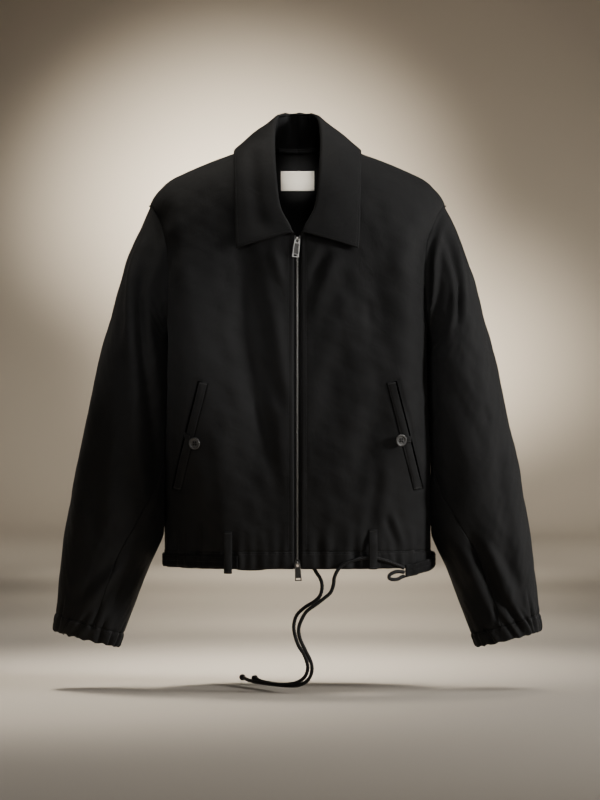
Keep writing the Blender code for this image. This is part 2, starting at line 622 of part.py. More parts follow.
def neck_seam_point(part):
    """The neck seam of the left half, from the zip to the centre back."""
    if part <= NECK_TURN:
        place = neck_place(FRONT_NECK, part / NECK_TURN, "front")
    else:
        place = neck_place(BACK_NECK, (part - NECK_TURN) / (1 - NECK_TURN), "back")
    return body_point(LEFT, *place)


def mirrored(point, side):
    """The same point on the given side."""
    return Vector((point.x * side, point.y, point.z))


def build_collar():
    """The fall, folded out over the stand, and the stand that rises from the neck seam."""
    def fall(across, up, layer):
        side = LEFT if across < 0.5 else RIGHT
        part = 1 - abs(2 * across - 1)
        point = fall_point(part, 1 - up) - fall_normal(part, 1 - up) * COLLAR_WALL * layer
        return mirrored(point, side)
    cloth_slab("collar_fall", 28, 3, fall, "shell_cloth")

    def stand(across, up, layer):
        side = LEFT if across < 0.5 else RIGHT
        part = 1 - abs(2 * across - 1)
        seam = neck_seam_point(part)
        roll = collar_line("roll", part)
        top = roll - fall_normal(part, 0.0) * 0.0034 + (seam - roll).normalized() * 0.0016
        seam = seam + (top - seam).normalized() * 0.0010
        point = seam.lerp(top, up)
        along = collar_line("roll", min(part + 0.01, 1)) - collar_line("roll", max(part - 0.01, 0))
        inward = (top - seam).cross(along).normalized()
        return mirrored(point + inward * WALL * layer, side)
    cloth_slab("collar_stand", 2 * (FRONT_NECK_COLUMNS + BACK_NECK_COLUMNS), 2, stand, "shell_cloth")


# ---------------------------------------------------------------- zip
def zip_plane_y(z):
    """Depth of the zip chain's middle at a height."""
    height = height_at(FRONT_EDGE, z)
    return form_point(LEFT, turn_at(FRONT_EDGE, height, "front"), height).y + ZIP_SINK


def build_zip():
    """Two tapes and the chain, straight down the centre front."""
    for name, side in SIDES.items():
        def tape(across, up, layer, side=side):
            z = HEM + (ZIP_TOP - HEM) * up
            x = CHAIN_WIDTH / 2 + TAPE_GAP + TAPE_WIDTH * across
            return Vector((side * x, zip_plane_y(z) + TAPE_THICK * (layer - 0.5), z))
        cloth_slab(f"zip_tape_{name}", 1, 14, tape, "zip_tape")

    def chain(across, up, layer):
        z = ZIP_LOW + (ZIP_TOP - 0.0035 - ZIP_LOW) * up
        return Vector((CHAIN_WIDTH * (across - 0.5), zip_plane_y(z) + CHAIN_THICK * (layer - 0.5), z))
    cloth_slab("zip_chain", 1, 14, chain, "zip_metal")


def build_slider(name, z, post_side):
    """Two plates joined by a post, with the bail that the pull tab hangs from."""
    y = zip_plane_y(z)
    half_space = PLATE_SPACE / 2
    front = y - half_space - PLATE.thick
    builder = bmesh.new()
    box(builder, (-PLATE.width / 2, front, z - PLATE.height / 2),
        (PLATE.width / 2, y - half_space, z + PLATE.height / 2))
    slider = add_object(name, builder, "zip_metal")
    builder = bmesh.new()
    box(builder, (-PLATE.width / 2, y + half_space, z - PLATE.height / 2),
        (PLATE.width / 2, y + half_space + PLATE.thick, z + PLATE.height / 2))
    rear = add_object(f"guide_{name}_rear", builder, "zip_metal")
    builder = bmesh.new()
    post = z + post_side * (PLATE.height / 2 - 0.0008)
    box(builder, (-0.0011, y - half_space - 0.0004, post - 0.0008),
        (0.0011, y + half_space + 0.0004, post + 0.0008))
    link = add_object(f"guide_{name}_post", builder, "zip_metal")
    builder = bmesh.new()
    box(builder, (-BAIL.width / 2, front - BAIL.reach, z - BAIL.height / 2),
        (BAIL.width / 2, front + 0.0003, z + BAIL.height / 2))
    bail = add_object(f"guide_{name}_bail", builder, "zip_metal")
    builder = bmesh.new()
    box(builder, (-BAIL.width, front - BAIL.reach + BAIL.thick, z - BAIL.height / 2 + BAIL.thick),
        (BAIL.width, front, z + BAIL.height / 2 - BAIL.thick))
    window = add_object(f"guide_{name}_window", builder, "zip_metal")
    add_modifier_with(slider, rear, "UNION")
    add_modifier_with(slider, link, "UNION")
    add_modifier_with(bail, window, "DIFFERENCE")
    add_modifier_with(slider, bail, "UNION")
    return Vector((0, front - BAIL.reach + BAIL.thick + 0.00115, z))


def build_pull(name, axis_point, lean, slope):
    """A pull tab that hangs from its bail; its origin is on the hinge axis."""
    builder = bmesh.new()
    half = PULL.width / 2
    bar = PULL.bar / 2
    outline = [(-0.0030, bar), (0.0030, bar), (half - 0.0014, -0.0035), (half - 0.0006, -PULL.length),
               (-half + 0.0006, -PULL.length), (-half + 0.0014, -0.0035)]
    corners = [builder.verts.new((x, -PULL.thick / 2, z)) for x, z in outline]
    face = builder.faces.new(corners)
    grown = bmesh.ops.extrude_face_region(builder, geom=[face], use_keep_orig=True)
    moved = [piece for piece in grown["geom"] if isinstance(piece, bmesh.types.BMVert)]
    bmesh.ops.translate(builder, verts=moved, vec=(0, PULL.thick, 0))
    pull = add_object(name, builder, "zip_metal")
    turn = Matrix.Translation(axis_point) @ Matrix.Rotation(lean, 4, "Y") @ Matrix.Rotation(-slope, 4, "X")
    pull.matrix_world = turn
    for part, low, high in (("eye", -bar - PULL.slot_length, -bar),
                            ("slot", -PULL.length + 0.0022, -PULL.length + 0.0042)):
        builder = bmesh.new()
        box(builder, (-PULL.slot_width / 2, -PULL.thick, low), (PULL.slot_width / 2, PULL.thick, high))
        cutter = add_object(f"guide_{name}_{part}", builder, "zip_metal")
        cutter.matrix_world = turn
        add_modifier_with(pull, cutter, "DIFFERENCE")


def build_sliders():
    """The two-way zip's upper and lower slider, each with its pull tab."""
    build_pull("pull_tab_top", build_slider("slider_top", SLIDER_TOP_Z, 1), PULL_LEAN, PULL_SLOPE)
    build_pull("pull_tab_bottom", build_slider("slider_bottom", SLIDER_LOW_Z, -1), 0.0, 0.0)


# ---------------------------------------------------------------- pockets and buttons
def build_pockets():
    """On each front a slanted welt, a small tab across it and the button that fastens the tab."""
    for name, side in SIDES.items():
        def welt(across, up, layer, side=side):
            low = [a + (b - a) * across for a, b in zip(WELT_CORNERS["low_inner"], WELT_CORNERS["low_outer"])]
            top = [a + (b - a) * across for a, b in zip(WELT_CORNERS["top_inner"], WELT_CORNERS["top_outer"])]
            x, z = [a + (b - a) * up for a, b in zip(low, top)]
            return face_point(side, "front", x, z, LAY_GAP + WELT_THICK * (1 - layer))
        cloth_slab(f"pocket_welt_{name}", 2, 10, welt, "shell_cloth")

        closure = CLOSURES[side]
        tab_lift = 2 * LAY_GAP + WELT_THICK

        def tab(across, up, layer, side=side, closure=closure):
            x = closure.button_x - 0.004 + (closure.tab_x - closure.button_x + 0.004) * across
            z = closure.button_z + (closure.tab_z - closure.button_z) * across + TAB_WIDTH * (up - 0.5)
            return face_point(side, "front", x, z, tab_lift + TAB_THICK * (1 - layer))
        cloth_slab(f"pocket_tab_{name}", 4, 2, tab, "shell_cloth")
        build_button(f"button_{name}", side, closure, tab_lift + TAB_THICK + LAY_GAP)


def build_button(name, side, closure, lift):
    """A turned four-hole button that lies on its tab."""
    profile = [(0.0, 0.0), (0.86, 0.0), (1.0, 0.35), (1.0, 0.75), (0.90, 1.0), (0.74, 0.92),
               (0.60, 0.58), (0.0, 0.5)]
    builder = bmesh.new()
    line = [builder.verts.new((r * BUTTON_RADIUS, 0, h * BUTTON_THICK)) for r, h in profile]
    edges = [builder.edges.new(pair) for pair in zip(line, line[1:])]
    bmesh.ops.spin(builder, geom=line + edges, cent=(0, 0, 0), axis=(0, 0, 1), steps=24,
                   angle=2 * math.pi, use_merge=True)
    bmesh.ops.remove_doubles(builder, verts=builder.verts, dist=1e-6)
    button = add_object(name, builder, "button_horn")
    centre = face_point(side, "front", closure.button_x, closure.button_z, lift + 0.0006)
    height = height_at(closure.button_x, closure.button_z)
    normal = form_normal(side, turn_at(closure.button_x, height, "front"), height)
    frame = Matrix.Translation(centre) @ normal.to_track_quat("Z", "Y").to_matrix().to_4x4()
    button.matrix_world = frame
    builder = bmesh.new()
    for quarter in range(4):
        angle = math.radians(45 + 90 * quarter)
        spot = Matrix.Translation((THREAD_SPREAD * math.cos(angle), THREAD_SPREAD * math.sin(angle), 0.001))
        bmesh.ops.create_cone(builder, cap_ends=True, segments=8, radius1=THREAD_HOLE,
                              radius2=THREAD_HOLE, depth=0.006, matrix=spot)
    holes = add_object(f"guide_{name}_holes", builder, "button_horn")
    holes.matrix_world = frame
    add_modifier_with(button, holes, "DIFFERENCE")


# ---------------------------------------------------------------- belt, loops, label
def build_belt_loops():
    """Narrow strips over the casing that the belt and the cord pass under."""
    for name, loop in BELT_LOOPS.items():
        def strip(across, up, layer, loop=loop):
            x = loop.x + loop.width * (across - 0.5)
            z = loop.low + (loop.top - loop.low) * up
            lift = LAY_GAP + loop.stand * fade(1 - up, 0.02, 0.45) * fade(up, -0.35, 0.12)
            return face_point(loop.side, loop.face, x, z, lift + LOOP_THICK * (1 - layer))
        cloth_slab(name, 1, 10, strip, "belt_cloth")


def build_belt():
    """The flat belt round the hem: it starts at the right front loop and its left end hangs free."""
    first, last = BELT_ROUTE[0].bearing, BELT_ROUTE[-1].bearing

    def strap(across, up, layer):
        bearing = first + (last - first) * across
        middle = column(BELT_ROUTE, "bearing", "middle", bearing)
        lift = column(BELT_ROUTE, "bearing", "lift", bearing)
        side, turn = (RIGHT, bearing) if bearing <= 180 else (LEFT, 360 - bearing)
        base = body_point(side, turn, middle, lift + BELT_THICK * (1 - layer))
        base.z = middle + BELT_WIDTH * (up - 0.5)
        return base
    cloth_slab("hem_belt", 52, 1, strap, "belt_cloth")


def build_neck_trims():
    """The blank neck label and the hanger loop inside the back neck."""
    def label(across, up, layer):
        x = LABEL.half_width * (2 * across - 1)
        z = LABEL.low + (LABEL.top - LABEL.low) * up
        return face_point(LEFT if x >= 0 else RIGHT, "back", abs(x), z,
                          -WALL - LABEL.gap - LABEL.thick * layer)
    cloth_slab("neck_label", 6, 3, label, "label_satin")

    def hanger(across, up, layer):
        x = HANGER.half_width * (2 * across - 1)
        part = NECK_TURN + (1 - NECK_TURN) * (1 - 0.42 * abs(2 * across - 1))
        seam = neck_seam_point(part)
        belly = 0.002 * math.cos(math.pi * (across - 0.5))
        return Vector((x, seam.y - HANGER.stand - belly - HANGER.thick * layer,
                       seam.z + HANGER.height * (up - 0.5)))
    cloth_slab("hanger_loop", 8, 1, hanger, "shell_cloth")


# ---------------------------------------------------------------- cords
def cord_points(route):
    """Evenly spaced points on the smooth curve through a route."""
    vectors = [Vector(point) for point in route]
    fine = [spline_point(vectors, (len(route) - 1) * i / 600) for i in range(601)]
    reach = [0.0]
    for a, b in zip(fine, fine[1:]):
        reach.append(reach[-1] + (b - a).length)
    count = max(2, round(reach[-1] / CORD_STEP))
    chosen, k = [], 0
    for i in range(count + 1):
        target = reach[-1] * i / count
        while k < len(reach) - 2 and reach[k + 1] < target:
            k += 1
        share = (target - reach[k]) / (reach[k + 1] - reach[k])
        chosen.append(fine[k].lerp(fine[k + 1], share))
    return chosen


def build_cord(name, route):
    """A round cord as a bevelled curve with filled caps."""
    curve = bpy.data.curves.new(name, "CURVE")
    curve.dimensions = "3D"
    curve.bevel_depth = CORD_RADIUS
    curve.bevel_resolution = 2
    curve.use_fill_caps = True
    points = cord_points(route)
    spline = curve.splines.new("POLY")
    spline.points.add(len(points) - 1)
    for target, point in zip(spline.points, points):
        target.co = (*point, 1.0)
    curve.materials.append(finish_material("cord_braid"))
    cord = bpy.data.objects.new(name, curve)
    bpy.context.scene.collection.objects.link(cord)
    return points


def build_knot(name, points):
    """The stopper knot just past a cord's end, as a turned barrel."""
    direction = (points[-1] - points[-2]).normalized()
    start = points[-1] + direction * 0.0003
    builder = bmesh.new()
    profile = [(0.0, 0.0), (0.62, 0.02), (0.95, 0.22), (1.0, 0.5), (0.92, 0.78), (0.55, 0.98), (0.0, 1.0)]
    line = [builder.verts.new((r * KNOT_RADIUS, 0, h * KNOT_LENGTH)) for r, h in profile]
    edges = [builder.edges.new(pair) for pair in zip(line, line[1:])]
    bmesh.ops.spin(builder, geom=line + edges, cent=(0, 0, 0), axis=(0, 0, 1), steps=12,
                   angle=2 * math.pi, use_merge=True)
    bmesh.ops.remove_doubles(builder, verts=builder.verts, dist=1e-6)
    knot = add_object(name, builder, "cord_braid")
    knot.matrix_world = Matrix.Translation(start) @ direction.to_track_quat("Z", "Y").to_matrix().to_4x4()


def build_cords():
    """The long end, the short end and the bight of the drawcord, with their stopper knots."""
    build_knot("cord_knot_long", build_cord("cord_long", LONG_CORD))
    build_knot("cord_knot_short", build_cord("cord_short", SHORT_CORD))
    build_cord("cord_bight", CORD_BIGHT)


def main():
    """Builds the whole jacket."""
    for thing in list(bpy.data.objects):
        bpy.data.objects.remove(thing)
    build_panels()
    build_hem_casing()
    build_sleeves()
    build_cuffs()
    build_collar()
    build_zip()
    build_sliders()
    build_pockets()
    build_belt_loops()
    build_belt()
    build_neck_trims()
    build_cords()


main()
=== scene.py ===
"""Utility jacket: the looks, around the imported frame.

Metres, +Z up. The front faces -Y and the wearer's left is at +X. Every cloth piece is a fine thin shell
on the same form as its solid in the frame, with its own creases, gathers, seams and stitches.

The body form is a stack of rounded-rectangle rings, closed over the shoulders by a dome. A place on it
is a side (+1 left, -1 right), a turn in degrees (0 centre front, 90 side seam, 180 centre back) and a
height, which is the real height up to the dome and goes on to 0 at the shoulder ridge.
"""
from __future__ import annotations

import logging
import math
import random
from dataclasses import dataclass
from enum import Enum
from typing import Callable, ClassVar, Iterable, NamedTuple, Sequence

import bmesh
import bpy
import numpy as np
from bmesh.types import BMesh, BMVert
from bpy.types import Material, Node, NodeSocket, Object
from mathutils import Matrix, Vector


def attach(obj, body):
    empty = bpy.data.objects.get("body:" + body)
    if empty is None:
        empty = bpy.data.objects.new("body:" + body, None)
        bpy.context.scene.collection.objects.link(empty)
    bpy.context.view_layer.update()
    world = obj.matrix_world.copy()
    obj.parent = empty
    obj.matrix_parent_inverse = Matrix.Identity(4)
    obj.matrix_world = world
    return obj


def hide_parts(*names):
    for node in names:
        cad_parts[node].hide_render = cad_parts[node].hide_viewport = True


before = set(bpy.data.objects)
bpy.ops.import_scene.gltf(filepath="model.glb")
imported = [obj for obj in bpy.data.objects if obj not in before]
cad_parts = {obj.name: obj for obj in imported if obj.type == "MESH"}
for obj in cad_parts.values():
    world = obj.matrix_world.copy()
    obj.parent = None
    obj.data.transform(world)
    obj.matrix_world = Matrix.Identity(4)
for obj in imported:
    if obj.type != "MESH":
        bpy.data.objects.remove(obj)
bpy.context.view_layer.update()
log = logging.getLogger("utility_jacket")
Array = np.ndarray
Point = tuple[float, float, float]
Place = Callable[[Array, Array], Array]

LEFT, RIGHT = 1, -1
SIDES = {"left": LEFT, "right": RIGHT}
FLOOR_Z = -0.806
SEED = 11

WALL = 0.0013            # shell cloth
CASING_WALL = 0.002      # folded casings
FALL_WALL = 0.0018       # two layers of the collar fall
HEM = -0.6232
CASING_TOP = -0.5975
UNDERARM = -0.275
DOME_START = -0.2
DOME_POWER = 2 / 2.2
FRONT_EDGE = 0.0051
SHOULDER_X = 0.064
HALF_SEAM = 0.00012


class Face(Enum):
    """Which half of the body a place lies on."""

    FRONT = "front"
    BACK = "back"


# ---------- curves through tables
class Curve:
    """A smooth curve through (place, value) pairs that never swings past them."""

    def __init__(self, places: Sequence[float], values: Sequence[float]) -> None:
        """Works out the tangents.

        Args:
            places: rising key values.
            values: the value at each key.
        """
        self.places = np.asarray(places, float)
        self.values = np.asarray(values, float)
        slopes = np.diff(self.values) / np.diff(self.places)
        before, after = slopes[:-1], slopes[1:]
        same_way = before * after > 0
        total = np.where(same_way, before + after, 1.0)
        inner = np.where(same_way, 2 * before * after / total, 0.0)
        self.tangents = np.concatenate([[slopes[0]], inner, [slopes[-1]]])

    def __call__(self, at: Array | float) -> Array:
        """The value at each place.

        Args:
            at: one place or an array of places.

        Returns:
            The values, in the shape of at.
        """
        at = np.clip(at, self.places[0], self.places[-1])
        k = np.clip(np.searchsorted(self.places, at, side="right") - 1, 0, len(self.places) - 2)
        width = self.places[k + 1] - self.places[k]
        t = (at - self.places[k]) / width
        start, end = self.values[k], self.values[k + 1]
        bend = self.tangents[k] * t * (1 - t) ** 2 - self.tangents[k + 1] * t * t * (1 - t)
        return start * (1 + 2 * t) * (1 - t) ** 2 + end * t * t * (3 - 2 * t) + width * bend


class Table:
    """Rows with named columns, read as smooth curves over the first column."""

    def __init__(self, names: str, *rows: Sequence[float]) -> None:
        """Makes a curve of each named column; the first one is the key, and the rows are in its rising order."""
        keys = [row[0] for row in rows]
        self.curves = {name: Curve(keys, [row[i] for row in rows]) for i, name in enumerate(names.split())}

    def __getattr__(self, name: str) -> Curve:
        """One column as a curve.

        Args:
            name: the column.

        Returns:
            The curve.
        """
        try:
            return self.__dict__["curves"][name]
        except KeyError as missing:
            raise AttributeError(name) from missing


def power_of(value: Array, exponent: Array | float) -> Array:
    """value ** exponent that keeps the sign of value."""
    return np.sign(value) * np.abs(value) ** exponent


def fade(value: Array | float, low: float, high: float) -> Array:
    """0 below low, 1 above high and smooth between."""
    t = np.clip((np.asarray(value, float) - low) / (high - low), 0.0, 1.0)
    return t * t * (3 - 2 * t)


def stack(x: Array, y: Array, z: Array) -> Array:
    """Three arrays as rows of points."""
    return np.stack(np.broadcast_arrays(x, y, z), axis=-1).astype(float)


def unit(vectors: Array) -> Array:
    """Each row at length 1."""
    return vectors / np.maximum(np.linalg.norm(vectors, axis=-1, keepdims=True), 1e-12)


def wrap(degrees: Array) -> Array:
    """Degrees brought between -180 and 180."""
    return (degrees + 180) % 360 - 180


def reach_of(line: Array) -> Array:
    """Distance of each point of a line from its start."""
    return np.concatenate([[0.0], np.cumsum(np.linalg.norm(np.diff(line, axis=0), axis=1))])


def points_at(line: Array, reach: Array, at: Array) -> Array:
    """Points at distances along a line."""
    return np.stack([np.interp(at, reach, line[:, axis]) for axis in range(3)], axis=-1)


def catmull_rom(points: Array, at: Array) -> Array:
    """A smooth curve through points.

    Args:
        points: shape (count, ..., 3), the stations in order.
        at: place along them counted in stations, shape (...).

    Returns:
        The points on the curve.
    """
    k = np.clip(at.astype(int), 0, len(points) - 2)
    t = (at - k)[..., None]
    spread = np.arange(len(at))

    def station(index: Array) -> Array:
        """The station of each place."""
        return points[index, spread] if points.ndim == 3 else points[index]

    b, c = station(k), station(k + 1)
    a = np.where((k > 0)[..., None], station(np.maximum(k - 1, 0)), b * 2 - c)
    last = (k + 2 < len(points))[..., None]
    d = np.where(last, station(np.minimum(k + 2, len(points) - 1)), c * 2 - b)
    return 0.5 * (2 * b + (c - a) * t + (2 * a - 5 * b + 4 * c - d) * t**2 + (3 * b - a - 3 * c + d) * t**3)


# ---------- creases
CREASE_ENDS = (-0.18, 0.3)           # shares of a crease's length between which it rises from nothing
VALLEY, VALLEY_AWAY, VALLEY_SPREAD = 0.28, 2.0, 0.9     # the shallow dip on both sides of it, in its widths


@dataclass(frozen=True)
class Crease:
    """A soft ridge (height above 0) or trough (below 0) along a gently bent line on a flat map."""

    top_x: float
    top_z: float
    low_x: float
    low_z: float
    bend: float
    width: float
    height: float

    def rise(self, x: Array, z: Array) -> Array:
        """Height of the cloth above its form.

        Args:
            x: map places across.
            z: map places up.

        Returns:
            The rise at each place.
        """
        run_x, run_z = self.low_x - self.top_x, self.low_z - self.top_z
        length = math.hypot(run_x, run_z)
        along = ((x - self.top_x) * run_x + (z - self.top_z) * run_z) / length**2
        across = ((x - self.top_x) * run_z - (z - self.top_z) * run_x) / length
        inside = np.clip(along, 0, 1)
        across = (across - self.bend * 4 * inside * (1 - inside)) / self.width
        ends = fade(along, *CREASE_ENDS) * fade(1 - along, *CREASE_ENDS)
        valley = VALLEY * np.exp(-((np.abs(across) - VALLEY_AWAY) ** 2) / VALLEY_SPREAD)
        return self.height * ends * (np.exp(-(across**2)) - valley)


def creases(*rows: Sequence[float]) -> list[Crease]:
    """One crease a row, as its top x, top z, low x, low z, bend, width and height."""
    return [Crease(*row) for row in rows]


def crease_field(folds: Sequence[Crease], x: Array, z: Array) -> Array:
    """The sum of all creases at each place."""
    return sum((fold.rise(x, z) for fold in folds), np.zeros_like(np.asarray(x, float)))


class Ripple:
    """Smooth uneven waves on a flat map, a few of each size, the same each run."""

    def __init__(self, name: str, low: float, high: float, tilt: float, count: int = 14) -> None:
        """Draws the waves.

        Args:
            name: seeds the draw.
            low: shortest wave in metres.
            high: longest wave in metres.
            tilt: spread of the wave fronts from upright, in radians.
            count: number of waves.
        """
        draw = random.Random(f"{SEED}{name}")
        self.waves = []
        for _ in range(count):
            size = low * (high / low) ** draw.random()
            turn = draw.gauss(0.0, tilt)
            pace = 2 * math.pi / size
            self.waves.append((pace * math.cos(turn), pace * math.sin(turn), draw.uniform(0, 6.283), size / high))

    def __call__(self, x: Array, z: Array) -> Array:
        """The waves' sum at each place, about -1 to 1."""
        total = sum(part * np.sin(kx * x + kz * z + phase) for kx, kz, phase, part in self.waves)
        return total / math.sqrt(0.5 * sum(wave[3] ** 2 for wave in self.waves)) / 1.8


# ---------- the body form
BODY_RINGS = Table(
    "height half_width front back squareness",
    (-0.64, 0.1985, 0.1185, 0.113, 2.55), (-0.6, 0.199, 0.119, 0.114, 2.55),
    (-0.525, 0.1995, 0.1205, 0.115, 2.75), (-0.435, 0.1975, 0.1215, 0.115, 3.3),
    (-0.345, 0.1945, 0.1225, 0.116, 3.5), (-0.275, 0.1935, 0.123, 0.117, 3.4),
    (-0.2, 0.1985, 0.1225, 0.118, 3.05), (-0.166, 0.205, 0.122, 0.118, 2.75),
    (-0.126, 0.213, 0.1215, 0.118, 2.7), (-0.0755, 0.219, 0.121, 0.118, 2.7),
    (0.0, 0.222, 0.121, 0.118, 2.7))
RIDGE = Table(
    "x z", (0.0, 0.022), (0.03, 0.018), (0.064, 0.006), (0.096, -0.006), (0.125, -0.0165),
    (0.161, -0.0315), (0.192, -0.047), (0.206, -0.06), (0.216, -0.072), (0.222, -0.085))
ARMHOLE = Table(
    "round turn height", (0, 90.0, 0.0), (25, 77.0, -0.0755), (50, 69.0, -0.126),
    (75, 65.0, -0.166), (100, 66.0, -0.2), (130, 70.0, -0.235), (155, 78.0, -0.262),
    (180, 90.0, UNDERARM))
FRONT_NECK = Table(
    "part x height", (0.0, FRONT_EDGE, -0.165), (0.2, 0.024, -0.1515), (0.4, 0.038, -0.1314),
    (0.6, 0.053, -0.094), (0.78, 0.061, -0.0582), (0.9, 0.0635, -0.025), (1.0, SHOULDER_X, 0.0))
BACK_NECK = Table(
    "part x height", (0.0, SHOULDER_X, 0.0), (0.2, 0.06, -0.0184), (0.4, 0.05, -0.0354),
    (0.7, 0.03, -0.0525), (1.0, 0.0, -0.06))
FRONT_NECK_SHARE, BACK_NECK_SHARE = 6 / 14, 4 / 14

# inner and outer corner of the pocket welts, as distances from the centre line and heights
WELT_LOW = ((0.172, -0.5086), (0.1855, -0.5066))
WELT_TOP = ((0.1306, -0.3499), (0.1444, -0.3469))

# x is the distance from the centre line, z the real height
FRONT_CREASES = {
    RIGHT: creases(
        (0.16, -0.11, 0.101, -0.5952, -0.014, 0.036, 0.013), (0.076, -0.15, 0.0418, -0.4557, -0.003, 0.019, -0.0085),
        (0.06, -0.3104, 0.016, -0.39, 0.0, 0.01, -0.0028), (0.0432, -0.2209, 0.0095, -0.3677, 0.0, 0.011, 0.0038),
        (0.0462, -0.3427, 0.0153, -0.4851, 0.0, 0.01, 0.003), (0.0374, -0.1519, 0.0153, -0.2135, 0.0, 0.007, 0.0022),
        (0.1783, -0.0814, 0.1577, -0.2282, 0.0, 0.012, 0.003),
        (0.1357, -0.4117, 0.1181, -0.5189, 0.0, 0.011, -0.0034),
        (0.1386, -0.56, 0.1328, -0.5952, 0.0, 0.005, 0.002)),
    LEFT: creases(
        (0.0625, -0.1577, 0.0155, -0.2649, 0.0, 0.012, 0.0042),
        (0.0419, -0.1548, 0.017, -0.2135, 0.0, 0.008, -0.0032),
        (0.0698, -0.2135, 0.0302, -0.3383, 0.0, 0.018, 0.0026),
        (0.0698, -0.2869, 0.0405, -0.419, 0.0, 0.018, -0.0028),
        (0.1359, -0.3677, 0.0845, -0.4778, 0.0, 0.016, -0.0034),
        (0.1183, -0.4778, 0.108, -0.5629, 0.0, 0.008, -0.0026),
        (0.1329, -0.4484, 0.1183, -0.5512, 0.0, 0.014, 0.0026), (0.13, -0.5438, 0.1447, -0.5835, 0.0, 0.005, -0.0022),
        (0.1388, -0.5438, 0.1535, -0.5879, 0.0, 0.005, 0.0022),
        (0.1271, -0.1548, 0.1168, -0.2943, 0.0, 0.02, -0.0026),
        (0.1036, -0.2282, 0.108, -0.2649, 0.0, 0.006, -0.001), (0.154, -0.09, 0.161, -0.47, 0.0, 0.024, 0.0066)),
}
BACK_CREASES = {
    RIGHT: creases(
        (0.15, -0.09, 0.06, -0.33, 0.012, 0.016, 0.007), (0.165, -0.17, 0.095, -0.38, 0.008, 0.01, -0.0056),
        (0.03, -0.12, 0.06, -0.42, -0.006, 0.022, 0.005), (0.1, -0.38, 0.12, -0.59, 0.004, 0.012, 0.0054),
        (0.06, -0.43, 0.075, -0.59, 0.003, 0.009, -0.0042), (0.15, -0.42, 0.16, -0.59, -0.003, 0.008, 0.0036),
        (0.02, -0.085, 0.032, -0.15, 0.0, 0.007, -0.0028)),
    LEFT: creases(
        (0.145, -0.1, 0.045, -0.3, 0.01, 0.015, 0.0066), (0.168, -0.19, 0.11, -0.36, 0.006, 0.009, -0.005),
        (0.02, -0.26, 0.09, -0.5, 0.006, 0.018, -0.0054), (0.085, -0.36, 0.13, -0.59, 0.006, 0.012, 0.0058),
        (0.045, -0.47, 0.05, -0.59, 0.002, 0.008, 0.0038), (0.16, -0.33, 0.15, -0.52, 0.004, 0.009, 0.0034),
        (0.062, -0.095, 0.04, -0.17, 0.0, 0.008, 0.003)),
}


